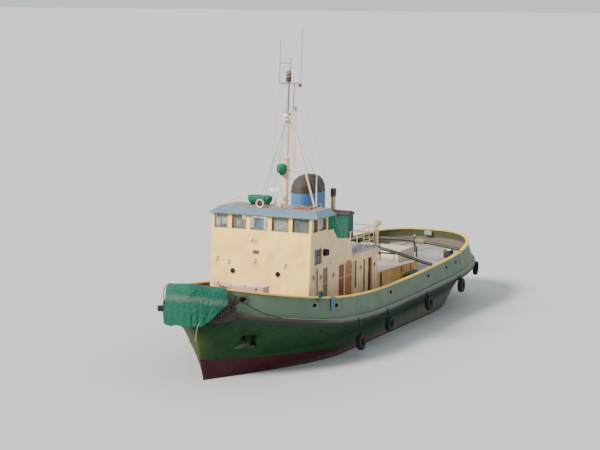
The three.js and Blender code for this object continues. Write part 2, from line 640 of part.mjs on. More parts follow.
mastMembers.push([strutHead, [5080, 2330, BOAT_DECK + GAP + 30], 48, 8])
mastMembers.push([onMast(400, 10250), strutHead, 30, 6])
const LANTERN_X = mastX(11000) + 190
add('mast', join([
  ...mastMembers.map(([from, to, radius, sides]) => rod(from, to, radius, sides)),
  box(mastX(10900) - 60, mastX(10900) + 330, -190, 190, 10850, 10910),
  box(4850, 5250, -200, 200, BOAT_DECK + GAP, BOAT_DECK + 30),
  box(4990, 5170, 2240, 2420, BOAT_DECK + GAP, BOAT_DECK + 30),
  rod([LANTERN_X, 0, 10900], [LANTERN_X, 0, 11230], 110, 12),
  rod([LANTERN_X, 0, 11200], [LANTERN_X, 0, 11260], 130, 12),
  rod(onMast(-20, YARD_Z + 95), onMast(-20, 13130), 115, 12),
  rod(onMast(-20, 12980), onMast(-20, 13050), 135, 12),
]), 'cream')
const ball = new THREE.SphereGeometry(245, 14, 10)
add('covered_lamp', ball.translate(5205, -30, 8580), 'canvas')

// Boat deck fittings
const RAIL_TOP = 1000
function guardRail(points, posts) {
  const pieces = []
  for (const height of [RAIL_TOP, RAIL_TOP * 0.66, RAIL_TOP * 0.33]) {
    for (let i = 0; i + 1 < points.length; i++) {
      const [ax, ay] = points[i]
      const [bx, by] = points[i + 1]
      pieces.push(rod([ax, ay, BOAT_DECK + height], [bx, by, BOAT_DECK + height], 22, 5))
    }
  }
  for (const [x, y] of posts) {
    pieces.push(rod([x, y, BOAT_DECK + GAP], [x, y, BOAT_DECK + RAIL_TOP + 10], 26, 5))
  }
  return join(pieces)
}
const COWL = { x: -360, y: 2500, z: 5540 }
for (const [name, side] of [['port', 1], ['starboard', -1]]) {
  const at = (aft, z) => [COWL.x - aft, side * COWL.y, z]
  const vent = join([
    rod(at(0, BOAT_DECK + GAP), at(0, COWL.z - 90), 88, 14),
    rod(at(-220, COWL.z), at(200, COWL.z), 110, 14, 172),
  ])
  const mouth = rod(at(-160, COWL.z), at(215, COWL.z), 100, 14, 152)
  add(`cowl_vent_${name}`, cut(vent, [mouth]), 'cream')
}
const RAIL_X = -250
const RAIL_Y = 2380
add('boat_rail', guardRail(
  [[2640, RAIL_Y], [RAIL_X, RAIL_Y], [RAIL_X, -RAIL_Y], [2640, -RAIL_Y]],
  [...[1, -1].flatMap((side) => [2600, 1800, 1000, 300, RAIL_X].map((x) => [x, side * RAIL_Y])),
    ...[-1250, 0, 1250].map((y) => [RAIL_X, y])]), 'cream')
add('liferaft', join([
  rod([1800, 2190, 4700], [2480, 2190, 4700], 160, 14),
  box(1900, 1980, 2080, 2300, BOAT_DECK + GAP, 4640),
  box(2300, 2380, 2080, 2300, BOAT_DECK + GAP, 4640),
]), 'white')

// Low casing abaft the house, and the tow hook's housing on its end
function casingOutline(x0, x1, top0, top1) {
  const foot = []
  for (let i = 0; i <= 6; i++) {
    const x = x1 + (x0 - x1) * i / 6
    foot.push([x, floorZ(x) + FOOT])
  }
  return [...foot, [x0, top0], [x1, top1]]
}
const casingTop = (x) => 2870 + 0.024 * (x - HOUSE_AFT)
const casing = sidePlate(casingOutline(HOUSE_AFT - 70, CASING_AFT, casingTop(HOUSE_AFT - 70),
  casingTop(CASING_AFT)).reverse(), [], -CASING_HALF, CASING_HALF)
add('engine_casing', casing, 'orange')

const HOUSING = { fore: -5700, aft: -8000, half: 1500, top: 3330 }
const housing = sidePlate([
  [HOUSING.fore, casingTop(HOUSING.fore) + 1], [CASING_AFT - 1, casingTop(CASING_AFT) + 1],
  [CASING_AFT - 1, floorZ(CASING_AFT) + FOOT], [HOUSING.aft, floorZ(HOUSING.aft) + FOOT],
  [HOUSING.aft, HOUSING.top], [HOUSING.fore, HOUSING.top]].reverse(), [],
-HOUSING.half, HOUSING.half)
const HOOK = { x: -8210, z: 2780 }
add('hook_housing', join([
  cut(housing, [box(-7200, -5000, -1300, 1300, 2790, 3230)]),
  box(-8290, HOUSING.aft + 10, -160, 160, HOOK.z - 150, HOOK.z - 90),
  box(-8290, HOUSING.aft + 10, -160, 160, HOOK.z + 90, HOOK.z + 150),
  box(-8060, HOUSING.aft + 10, -220, 220, HOOK.z - 260, HOOK.z + 260),
]), 'cream')

const LID = { x0: -4100, x1: -2300, half: 700 }
const lidTurn = Math.atan(0.024)
const lid = box(LID.x0, LID.x1, -LID.half, LID.half, 0, 90)
lid.translate(-LID.x1, 0, 0).rotateY(-lidTurn).translate(LID.x1, 0, casingTop(LID.x1) + 8)
add('casing_lid', lid, 'grey')

add('tow_hook', join([
  rod([HOOK.x, 0, HOOK.z - 80], [HOOK.x, 0, HOOK.z + 80], 75, 12),
  box(-8700, HOOK.x, -45, 45, HOOK.z - 60, HOOK.z + 60),
  box(-8790, -8660, -45, 45, HOOK.z - 60, HOOK.z + 210),
  box(-8790, -8520, -45, 45, HOOK.z + 150, HOOK.z + 210),
]), 'rust')

// Tow bows: arches from rail to rail that keep the line clear of the deck. Each point is (y, z).
const BOW_BAR = 85
function towBow(x, crown) {
  const end = halfBreadth(DECK_LINE, x) - 40
  const foot = railZ(x) + BOW_BAR + 4
  const half = crown.concat([[end, foot]])
  const points = half.slice().reverse().map(([y, z]) => [x, -y, z])
  return bar(points.concat(half.slice(1).map(([y, z]) => [x, y, z])), BOW_BAR, 10, 20)
}
add('tow_bow_fore', towBow(-4500, [[0, 3690], [1200, 3590], [2400, 3330], [3300, 3090]]), 'olive')
add('tow_bow_aft', towBow(-8950, [[0, 3520], [1300, 3480], [2500, 3350], [3250, 3240]]), 'olive')

// Bollards and the windlass
const BITTS = [['fore_port', 9000, 2700], ['fore_starboard', 9000, -2700],
  ['aft_port', -11000, 2450], ['aft_starboard', -11000, -2450]]
for (const [name, x, y] of BITTS) {
  const z = floorZ(x + (x > 0 ? 350 : -350)) + 6
  add(`bitts_${name}`, join([
    box(x - 350, x + 350, y - 150, y + 150, z, z + 60),
    rod([x - 200, y, z + 30], [x - 200, y, z + 520], 95, 12),
    rod([x + 200, y, z + 30], [x + 200, y, z + 520], 95, 12),
    rod([x - 200, y, z + 500], [x - 200, y, z + 540], 125, 12),
    rod([x + 200, y, z + 500], [x + 200, y, z + 540], 125, 12),
  ]), 'dark')
}
const WINDLASS = { x: 12050, z: 3330 }
const windlassFoot = floorZ(12400) + 8
add('windlass_frame', join([
  box(11800, 12300, -520, 520, windlassFoot, windlassFoot + 70),
  box(11900, 12200, -500, -420, windlassFoot + 40, WINDLASS.z + 130),
  box(11900, 12200, 420, 500, windlassFoot + 40, WINDLASS.z + 130),
]), 'dark')
add('windlass_drum', join([
  rod([WINDLASS.x, -410, WINDLASS.z], [WINDLASS.x, 410, WINDLASS.z], 60, 12),
  rod([WINDLASS.x, -300, WINDLASS.z], [WINDLASS.x, 300, WINDLASS.z], 130, 14),
  rod([WINDLASS.x, -340, WINDLASS.z], [WINDLASS.x, -290, WINDLASS.z], 190, 16),
  rod([WINDLASS.x, 290, WINDLASS.z], [WINDLASS.x, 340, WINDLASS.z], 190, 16),
]), 'rust')

// Skiff athwart the foredeck. Each station: place along it, half width at the gunwale and floor
const SKIFF = { x: 10650, y: 620, foot: 3350, top: 3950 }
const SKIFF_STATIONS = [[-1300, 330, 220], [-900, 480, 330], [0, 560, 400], [700, 480, 300],
  [1150, 250, 120], [1300, 60, 30]]
const skiffRing = (s, top, floor, low, high) => [
  [SKIFF.x - floor, SKIFF.y - s, low], [SKIFF.x + floor, SKIFF.y - s, low],
  [SKIFF.x + top, SKIFF.y - s, high], [SKIFF.x - top, SKIFF.y - s, high]]
const skiffHull = ringBody(SKIFF_STATIONS.map(([s, top, floor]) =>
  skiffRing(s, top, floor, SKIFF.foot, SKIFF.top)), capOf(rectangle(0, 1, 0, 1)))
const skiffInside = ringBody(SKIFF_STATIONS.slice(0, 5).map(([s, top, floor], i) => skiffRing(
  i === 0 ? s + 50 : s, top - 40, floor - 30, SKIFF.foot + 45, SKIFF.top + 60)),
capOf(rectangle(0, 1, 0, 1)))
const TRESTLES = { places: [1220, -160], legs: [10380, 10920], legRadius: 40 }
const skiffTrestles = TRESTLES.places.flatMap((y) => [
  box(10300, 11000, y - 40, y + 40, SKIFF.foot - 60, SKIFF.foot + 20),
  ...TRESTLES.legs.map((x) => rod([x, y, floorZ(x + TRESTLES.legRadius) + 8], [x, y, SKIFF.foot],
    TRESTLES.legRadius, 8)),
])
add('skiff', join([cut(skiffHull, [skiffInside]), ...skiffTrestles]), 'white')

export default tug
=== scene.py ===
"""Dresses the harbour tug: weathered paint, canvas covers, tyres, windows and fittings."""

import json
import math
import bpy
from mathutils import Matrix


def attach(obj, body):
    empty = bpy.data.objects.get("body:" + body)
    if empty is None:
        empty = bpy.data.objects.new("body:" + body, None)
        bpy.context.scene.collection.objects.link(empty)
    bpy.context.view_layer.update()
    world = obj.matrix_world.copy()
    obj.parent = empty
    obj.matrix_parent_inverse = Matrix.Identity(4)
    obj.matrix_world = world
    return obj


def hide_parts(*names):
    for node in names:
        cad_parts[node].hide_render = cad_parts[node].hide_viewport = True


bl_info = {
    "name": "Harbour tug",
    "version": (1, 0, 0),
    "blender": (4, 5, 0),
    "location": "3D View > Sidebar > Tug",
    "description": "Dresses the harbour tug's frame with finishes and fittings",
    "category": "Object",
}

import bmesh
import bpy
from bpy.props import FloatProperty, FloatVectorProperty, PointerProperty
from mathutils import Matrix, Vector, noise
from mathutils.bvhtree import BVHTree

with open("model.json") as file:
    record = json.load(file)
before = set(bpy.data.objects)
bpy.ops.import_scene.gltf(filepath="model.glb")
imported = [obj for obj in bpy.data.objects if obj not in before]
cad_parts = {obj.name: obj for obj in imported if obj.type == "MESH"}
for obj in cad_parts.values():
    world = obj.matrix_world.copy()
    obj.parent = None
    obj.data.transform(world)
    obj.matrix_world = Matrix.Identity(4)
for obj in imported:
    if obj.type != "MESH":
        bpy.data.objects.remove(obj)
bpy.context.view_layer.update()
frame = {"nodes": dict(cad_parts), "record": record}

UP = Vector((0, 0, 1))
FORWARD = Vector((1, 0, 0))
SIDES = {"port": 1, "starboard": -1}

# The photograph's view, in metres and degrees
CAMERA_PLACE = (75.454, 34.405, 16.338)
CAMERA_HEADING = 205.473
CAMERA_PITCH = -7.583
CAMERA_ROLL = 0.476
CAMERA_LENS = 100.5

# The stage: half the floor's width, where the sun stands, its width in degrees and its tint
FLOOR_HALF = 3000
SUN_FROM = (0.86, -0.32, 0.62)
SUN_WIDTH = 14
SUN_TINT = (1.0, 0.93, 0.82)

# Driving places, as in the frame
WALL = 2.556
FRONT_FOOT = (7.68, 2.2)
FRONT_RAKE = 0.0755
BOAT_DECK = 4.42
ROOF_TOP = 6.93
HULL_END = 14.055
BEAM_HALF = 3.9
RAIL_MID = 2.805
SHEER_LOW_X = 1.48
SHEER_RISE_FORE, SHEER_RISE_AFT = 1.605, 0.658
BULWARK = 1.0
# Between these two places along, the sides run parallel
PARALLEL_FORE, PARALLEL_AFT = 5.72, -5.136


def linear(hex_colour):
    """sRGB hex to linear red, green, blue and alpha."""
    parts = [(hex_colour >> shift & 255) / 255 for shift in (16, 8, 0)]
    return [p / 12.92 if p <= 0.04045 else ((p + 0.055) / 1.055) ** 2.4 for p in parts] + [1.0]


def clamp(value, low=0.0, high=1.0):
    return min(max(value, low), high)


# Shape of the house's front and of the hull at the rail
def front_x(z):
    return FRONT_FOOT[0] - FRONT_RAKE * (z - FRONT_FOOT[1])


def rail_z(x):
    forward = x > SHEER_LOW_X
    reach = HULL_END - SHEER_LOW_X if forward else HULL_END + SHEER_LOW_X
    return RAIL_MID + (SHEER_RISE_FORE if forward else SHEER_RISE_AFT) * ((x - SHEER_LOW_X) / reach) ** 2


def deck_z(x):
    return rail_z(x) - BULWARK


def half_breadth(x):
    """Half breadth of the hull at the rail."""
    if x > PARALLEL_FORE:
        s = min((x - PARALLEL_FORE) / (HULL_END - PARALLEL_FORE), 1)
        return BEAM_HALF * (1 - s ** 2.153) ** (1 / 1.434)
    if x < PARALLEL_AFT:
        s = min((PARALLEL_AFT - x) / (HULL_END + PARALLEL_AFT), 1)
        return BEAM_HALF * (1 - s ** 2.832) ** (1 / 2.757)
    return BEAM_HALF


def rail_place(x, side):
    """Point on the rail line and the outward direction there."""
    step = 0.01
    slope = (half_breadth(x + step) - half_breadth(x - step)) / (2 * step)
    outward = Vector((-slope, side, 0)).normalized()
    return Vector((x, side * half_breadth(x), rail_z(x))), outward


def lean(x):
    """How far the stern's plating tumbles out from the rail down to the deck."""
    t = clamp((-3 - x) / 9)
    return 0.32 * t * t * (3 - 2 * t)


def on_hull(x, side, offset, height):
    """Point at an offset outside the rail line and a height over the deck."""
    place, outward = rail_place(x, side)
    place = place + outward * (offset + lean(x) * (1 - clamp(height)))
    place.z = deck_z(x) + height
    return place


def hull_line(side, *rows):
    """Points by rows of (place along, offset outside the rail line, height over the deck)."""
    return [on_hull(x, side, offset, height) for x, offset, height in rows]


def plating(x, side, z):
    """Where the topsides' plating is at a place along and a height, and the way it faces."""
    tree = BVHTree.FromBMesh(merged("hull_topsides"))
    return tree.ray_cast(Vector((x, side * 9, z)), Vector((0, -side, 0)))[:2]


# Sizes and colours that a user would change
class TugSizes(bpy.types.PropertyGroup):
    porthole: FloatProperty(
        name="Porthole", description="Radius of a porthole's glass",
        default=0.125, unit="LENGTH")
    wire: FloatProperty(
        name="Wire", description="Radius of the mast's stays",
        default=0.006, unit="LENGTH")
    tyre: FloatProperty(
        name="Tyre", description="Outer radius of a tyre fender",
        default=0.385, unit="LENGTH")
    fold: FloatProperty(
        name="Fold", description="Depth of the bow canvas's folds",
        default=0.05, unit="LENGTH")


def colour_property(name, hex_colour, description):
    return FloatVectorProperty(
        name=name, description=description, subtype="COLOR", size=4,
        min=0, max=1, default=linear(hex_colour))


class TugPaint(bpy.types.PropertyGroup):
    house: colour_property("House", 0xFFDE7E, "Cream paint of the house")
    bulwark: colour_property("Bulwark", 0x516A55, "Grey-green paint outside the bulwark")
    topsides: colour_property("Topsides", 0x0A3E19, "Dark green paint under the belting")
    boot: colour_property("Boot top", 0x400B16, "Red paint at the waterline")
    rail: colour_property("Rail", 0xE8C636, "Yellow paint of the cap rail")
    roof: colour_property("Roof", 0x647F96, "Blue-grey paint of the roof's edge")
    funnel: colour_property("Funnel", 0x437AA8, "Blue paint of the funnel")
    canvas: colour_property("Canvas", 0x045443, "Green coated canvas")
    deck: colour_property("Deck", 0xA49FA8, "Grey deck paint")


class TugStage(bpy.types.PropertyGroup):
    sun: FloatProperty(
        name="Sun", description="Strength of the soft key light",
        default=6.0, min=0)
    sky: FloatProperty(
        name="Sky", description="Strength of the pale surroundings",
        default=1.12, min=0)


# Materials
def fill(tree, node, values=None, links=None):
    """Sets a node's inputs and links them."""
    for socket, value in (values or {}).items():
        node.inputs[socket].default_value = value
    for socket, source in (links or {}).items():
        tree.links.new(source, node.inputs[socket])


def put(tree, kind, values=None, links=None, **settings):
    """Adds a node with its settings, its inputs' values and its links."""
    made = tree.nodes.new(kind)
    for key, value in settings.items():
        setattr(made, key, value)
    fill(tree, made, values, links)
    return made


def noisy(tree, where, scale, detail, roughness=0.5, distortion=0.0):
    """Noise over a finish, from 0 to 1."""
    values = {"Scale": scale, "Detail": detail, "Roughness": roughness, "Distortion": distortion}
    return put(tree, "ShaderNodeTexNoise", values, {"Vector": where}).outputs["Fac"]


def ramp(tree, value, *stops):
    """Colours by a value. Each stop is (place, colour)."""
    made = put(tree, "ShaderNodeValToRGB", None, {"Fac": value})
    elements = made.color_ramp.elements
    while len(elements) < len(stops):
        elements.new(1.0)
    for element, (place, colour) in zip(elements, stops):
        element.position = place
        element.color = colour
    return made.outputs[0]


def fit(tree, value, low, high, start=0.0, end=1.0):
    """Maps a value from one range to another."""
    values = {"From Min": low, "From Max": high, "To Min": start, "To Max": end}
    return put(tree, "ShaderNodeMapRange", values, {"Value": value}).outputs[0]


def laid_over(tree, share, under, colour):
    """Lays a colour over what is under it, by a share."""
    return put(tree, "ShaderNodeMix", {7: colour}, {0: share, 6: under}, data_type="RGBA").outputs[2]


def bump(tree, height, strength, distance, **normal):
    """Relief of a height, over the relief given as Normal."""
    return put(tree, "ShaderNodeBump", {"Strength": strength, "Distance": distance},
               {"Height": height, **normal}).outputs[0]


def math_node(tree, operation, values, links):
    return put(tree, "ShaderNodeMath", values, links, operation=operation).outputs[0]


BLACK = (0, 0, 0, 1)
WHITE = (1, 1, 1, 1)
RUST = linear(0x8A4E2B)
GRIME = linear(0x5A5348)
# What paint on plates and coated cloth reflect, less than the shader's own 0.5
DULL = 0.25
MATERIALS = {}


def new_material(name):
    material = bpy.data.materials.new(name)
    material.use_nodes = True
    tree = material.node_tree
    MATERIALS[name] = material
    return tree, tree.nodes["Principled BSDF"], put(tree, "ShaderNodeTexCoord").outputs["Object"]


def shade(colour, factor, lift=0.0):
    return [min(c * factor + lift, 1) for c in colour[:3]] + [1]


def weathered_paint(name, colour, second, rust, streaks, roughness=(0.42, 0.68), dents=0.012,
                    foot=None, specular=0.5):
    """Brushed marine paint on steel: chalked patches, rain streaks down the plate and rust that
    breaks through. The streaks are about 0.12 m wide and the patches about 0.8 m."""
    tree, shader, where = new_material(name)
    tall = put(tree, "ShaderNodeMapping", {"Scale": (8.0, 8.0, 0.55)}, {"Vector": where})
    streak = noisy(tree, tall.outputs[0], 1.0, 5.0, 0.6)
    patch = noisy(tree, where, 1.3, 6.0, 0.62)
    speck = noisy(tree, where, 6.0, 8.0, 0.72)
    tone = ramp(tree, patch, (0.3, colour), (0.7, second))
    rain = ramp(tree, streak, (0.5, BLACK), (0.78, (streaks, streaks, streaks, 1)))
    breaks = math_node(tree, "MULTIPLY", None, {0: speck, 1: streak})
    low = 0.46 - 0.16 * rust
    spots = ramp(tree, breaks, (low, BLACK), (low + 0.07, WHITE))
    colour_out = laid_over(tree, spots, laid_over(tree, rain, tone, GRIME), RUST)
    if foot:
        height = put(tree, "ShaderNodeSeparateXYZ", None, {0: where}).outputs[2]
        ragged = math_node(tree, "MULTIPLY_ADD", {1: 0.5}, {0: streak, 2: height})
        fade = fit(tree, ragged, foot[0] + 0.25, foot[1] + 0.25, 0.7, 0.0)
        colour_out = laid_over(tree, fade, colour_out, linear(foot[2]))
    plate = bump(tree, noisy(tree, where, 0.9, 2.0), 0.6, dents * 4)
    skin = bump(tree, noisy(tree, where, 30.0, 4.0), 0.25, 0.004, Normal=plate)
    fill(tree, shader, {"Specular IOR Level": specular},
         {"Base Color": colour_out, "Roughness": fit(tree, patch, 0.0, 1.0, *roughness),
          "Normal": bump(tree, spots, 0.5, 0.004, Normal=skin)})


def second_coat(name, colour, kind, vector, start, full, most, ragged):
    """Another colour over a finish, such as a band of dirt or a boot-top: it rises from nothing
    at the start to its most at the full distance along a direction, or height over the deck, or
    distance from a place. Along (0, 0, 0) it lies in patches all over."""
    tree = MATERIALS[name].node_tree
    shader = tree.nodes["Principled BSDF"]
    where = put(tree, "ShaderNodeTexCoord").outputs["Object"]
    if kind == HEIGHT:
        distance = put(tree, "ShaderNodeAttribute", attribute_name="height").outputs["Fac"]
    else:
        distance = put(tree, "ShaderNodeVectorMath", {1: vector}, {0: where},
                       operation=kind).outputs["Value"]
    edge = math_node(tree, "MULTIPLY_ADD", {1: 2 * ragged},
                     {0: noisy(tree, where, 2.6, 6.0, 0.7), 2: distance})
    share = fit(tree, edge, start + ragged, full + ragged, 0.0, most)
    under = shader.inputs["Base Color"].links[0].from_socket
    fill(tree, shader, links={"Base Color": laid_over(tree, share, under, linear(colour))})


def coated_canvas(name, colour):
    """PVC-coated polyester canvas: a woven base whose threads show as a faint grid, drawn at
    9 mm instead of 1 mm so that it shows, chalky where it has faded on top."""
    tree, shader, where = new_material(name)
    tone = ramp(tree, noisy(tree, where, 1.6, 6.0, 0.6), (0.25, shade(colour, 0.55)), (0.5, colour),
                (0.78, shade(colour, 1.2, 0.01)))
    normal = put(tree, "ShaderNodeNewGeometry").outputs["Normal"]
    facing = put(tree, "ShaderNodeSeparateXYZ", None, {0: normal}).outputs[2]
    chalk = laid_over(tree, fit(tree, facing, 0.1, 0.9, 0.0, 0.07), tone, linear(0x79AE9C))
    weave = put(tree, "ShaderNodeTexBrick",
                {"Scale": 55.0, "Mortar Size": 0.08, "Color1": WHITE, "Color2": WHITE,
                 "Mortar": BLACK}, {"Vector": where}).outputs["Fac"]
    threads = bump(tree, weave, 0.12, 0.003)
    folds = bump(tree, noisy(tree, where, 9.0, 6.0, 0.5, 1.2), 0.85, 0.045, Normal=threads)
    fill(tree, shader, {"Roughness": 0.62, "Specular IOR Level": DULL},
         {"Base Color": chalk, "Normal": folds})


def worn_rubber(name, colour, dust):
    """Vulcanised rubber, sun-dried to a dusty grey-black with scuffs."""
    tree, shader, where = new_material(name)
    tone = ramp(tree, noisy(tree, where, 7.0, 8.0, 0.7), (0.35, colour),
                (0.6, shade(colour, 1.6, 0.002)), (0.8, dust))
    grain = bump(tree, noisy(tree, where, 60.0, 3.0), 0.4, 0.006)
    fill(tree, shader, {"Roughness": 0.8}, {"Base Color": tone, "Normal": grain})


def window_glass(name):
    """Toughened float glass, green at depth, with a salt film that dulls it in patches."""
    tree, shader, where = new_material(name)
    rough = fit(tree, noisy(tree, where, 2.4, 5.0), 0.4, 0.8, 0.01, 0.10)
    fill(tree, shader, {"Base Color": linear(0xE9F2EF), "Transmission Weight": 0.93, "IOR": 1.5},
         {"Roughness": rough})


def dark_glass(name, deep, pale):
    """Painted shade: opaque glass whose nearly black colour stands for the unlit cabin behind it, with a
    clear reflection.
    """
    tree, shader, where = new_material(name)
    tone = ramp(tree, noisy(tree, where, 5.0, 4.0), (0.3, deep), (0.75, pale))
    fill(tree, shader, {"Roughness": 0.12, "IOR": 1.5}, {"Base Color": tone})


def cast_metal(name, colour, second, metallic, roughness):
    """Bare or galvanised cast metal with a pitted sand-cast skin, and moulded lamp lenses."""
    tree, shader, where = new_material(name)
    pits = noisy(tree, where, 18.0, 6.0, 0.65)
    fill(tree, shader, {"Metallic": metallic, "Roughness": roughness},
         {"Base Color": ramp(tree, pits, (0.35, colour), (0.7, second)),
          "Normal": bump(tree, pits, 0.35, 0.004)})


def laid_fibre(name, colour, second):
    """Three-strand laid fibre rope: soft matt strands that spiral every 60 mm."""
    tree, shader, where = new_material(name)
    lay = put(tree, "ShaderNodeTexWave", {"Scale": 9.0, "Distortion": 1.5, "Detail": 2.0},
              {"Vector": where}, bands_direction="DIAGONAL").outputs["Fac"]
    fill(tree, shader, {"Roughness": 0.9},
         {"Base Color": ramp(tree, lay, (0.15, second), (0.6, colour)),
          "Normal": bump(tree, lay, 0.5, 0.008)})


def oiled_wood(name, colour, second):
    """Varnished hardwood with grain about 20 mm wide along the frame."""
    tree, shader, where = new_material(name)
    grain = put(tree, "ShaderNodeMapping", {"Scale": (50.0, 50.0, 4.0)}, {"Vector": where})
    rings = noisy(tree, grain.outputs[0], 1.0, 5.0)
    fill(tree, shader, {"Roughness": 0.45},
         {"Base Color": ramp(tree, rings, (0.3, colour), (0.7, second)),
          "Normal": bump(tree, rings, 0.3, 0.002)})


# Steel paints: name, colour, second colour, rust, streaks and what else differs. A colour is a
# number or a field of TugPaint, and a second colour below 1 is a share of the first one.
PAINTS = [
    ("front_wall_paint", "house", 0xF0C274, 0.2, 0.08, {"foot": (2.3, 3.3, 0xE2AC7C)}),
    ("bulwark_paint", "bulwark", 0.82, 0.18, 0.3, {"dents": 0.02}),
    ("topside_paint", "topsides", 0.6, 0.12, 0.2,
     {"roughness": (0.5, 0.7), "dents": 0.03, "specular": DULL}),
    ("bottom_paint", "boot", 0.6, 0.05, 0.15,
     {"roughness": (0.45, 0.7), "dents": 0.03, "foot": (-3.4, -0.5, 0x33402C), "specular": DULL}),
    ("roof_paint", "roof", 0.85, 0.15, 0.12),
    ("funnel_paint", "funnel", 0.78, 0.05, 0.25),
    ("deck_paint", "deck", 0x8D8890, 0.45, 0.1, {"roughness": (0.6, 0.85)}),
    ("rail_paint", "rail", 0xE0BA5C, 0.25, 0.12),
    ("mast_paint", 0xE2D0AE, 0xCBB088, 0.25, 0.2),
    ("bulwark_inner_paint", 0x3E4528, 0x4E5233, 0.3, 0.3),
    ("roof_top_paint", 0x988D8F, 0x7F767A, 0.4, 0.1),
    ("soot_paint", 0x4A423C, 0x38312D, 0.1, 0.3, {"roughness": (0.6, 0.85)}),
    ("casing_paint", 0xE6B976, 0xD6A462, 0.2, 0.25),
    ("locker_paint", 0x0D6350, 0x0B4F3D, 0.03, 0.2),
    # Painted shade: near black, the anchor's black paint deepened into the pocket's shade, and the throats
    # and scuppers that stand for the shade inside holes
    ("anchor_paint", 0x100E0D, 0x1C1613, 0.0, 0.1, {"specular": DULL}),
    ("olive_paint", 0x303A26, 0x28301F, 0.2, 0.2),
    ("white_paint", 0xE6E5DE, 0xCECABF, 0.12, 0.25),
    ("grey_paint", 0x85807A, 0x6C6862, 0.2, 0.25),
    ("door_grey_paint", 0x80705C, 0x68604E, 0.2, 0.3),
    ("door_brown_paint", 0x8E4A2A, 0x74402B, 0.1, 0.25),
    ("door_ochre_paint", 0xA8783E, 0x8A6236, 0.12, 0.25),
    ("red_lead_paint", 0x95604E, 0x7C4C40, 0.2, 0.15),
    ("skiff_paint", 0xE4BDAC, 0xCFA292, 0.05, 0.25),
    ("teal_paint", 0x1F5A52, 0x184842, 0.0, 0.3),
    ("blue_paint", 0x5C7FA8, 0x49678C, 0.1, 0.2),
    ("side_wall_paint", 0xF0D2A6, 0xE0BE90, 0.16, 0.14, {"foot": (1.8, 2.6, 0xC98F63)}),
    ("rim_paint", 0x8E988C, 0x747E74, 0.25, 0.2),
    # Painted highlight: lighter than the topsides' green, for sunlight on the anchor pocket's lip
    ("lip_paint", 0x4E6652, 0x3C5242, 0.1, 0.2),
    ("pipe_paint", 0x6B4A34, 0x533A2A, 0.3, 0.2),
    ("board_paint", 0xC9BEAA, 0xB4AA98, 0.05, 0.15),
    ("horn_paint", 0xEFD2B8, 0xDDB49C, 0.1, 0.1),
    ("radar_plastic", 0xF2F0EA, 0xE2DFD6, 0.0, 0.12, {"dents": 0.001}),
    ("oval_paint", 0xA8703E, 0x8A5630, 0.2, 0.1),
    ("exhaust_paint", 0xDFCFA2, 0xC9B182, 0.15, 0.3),
    ("housing_paint", 0xD6CBB4, 0xC0B49E, 0.3, 0.25),
    ("casing_top_paint", 0xBDB4B6, 0xA9A0A6, 0.35, 0.1),
    ("rusty_steel", 0x573C2E, 0x402D24, 0.45, 0.2)]

# The other finishes: their maker, name, colours and other values
FINISHES = [
    (coated_canvas, "green_canvas", "canvas"),
    (coated_canvas, "raft_canvas", 0x076248),
    (coated_canvas, "heap_canvas", 0x1C3F2C),
    (coated_canvas, "blue_canvas", 0x5A7690),
    (worn_rubber, "belting_rubber", 0x181513, 0x403A36),
    (worn_rubber, "fender_rubber", 0x191412, 0x453834),
    (worn_rubber, "tyre_rubber", 0x0B0B0C, 0x1E1D1E),
    (window_glass, "window_glass"),
    # Painted shade: the next two are opaque near-black panes that stand for the unlit cabins behind the
    # lower windows and the portholes
    (dark_glass, "dark_glass", 0x23282C, 0x46525A),
    (dark_glass, "black_glass", 0x120A07, 0x2A1A12),
    # Black steel, also used for the dark discs that stand as painted shade in the horn and the cowls
    (cast_metal, "black_steel", 0x2A2724, 0x4A3A30, 0.3, 0.6),
    (cast_metal, "galvanised_wire", 0x8E8C86, 0x6E6A64, 0.7, 0.45),
    (cast_metal, "bronze", 0x8A6A3A, 0x5F6B4A, 0.9, 0.4),
    (cast_metal, "red_lens", 0x561A16, 0x421412, 0.0, 0.2),
    (cast_metal, "white_lens", 0xF2F0E8, 0xDAD8CE, 0.0, 0.25),
    (laid_fibre, "laid_rope", 0xC2B08A, 0x8E7E60),
    (laid_fibre, "dark_rope", 0x2A221F, 0x171211),
    (oiled_wood, "window_wood", 0xA9753F, 0xCB9A5E)]

# How a second coat measures its distance
ALONG, AROUND, HEIGHT = "DOT_PRODUCT", "DISTANCE", "HEIGHT"
WATER = (-0.0595, 0, 1)
PATCHES = (0, 0, 0)
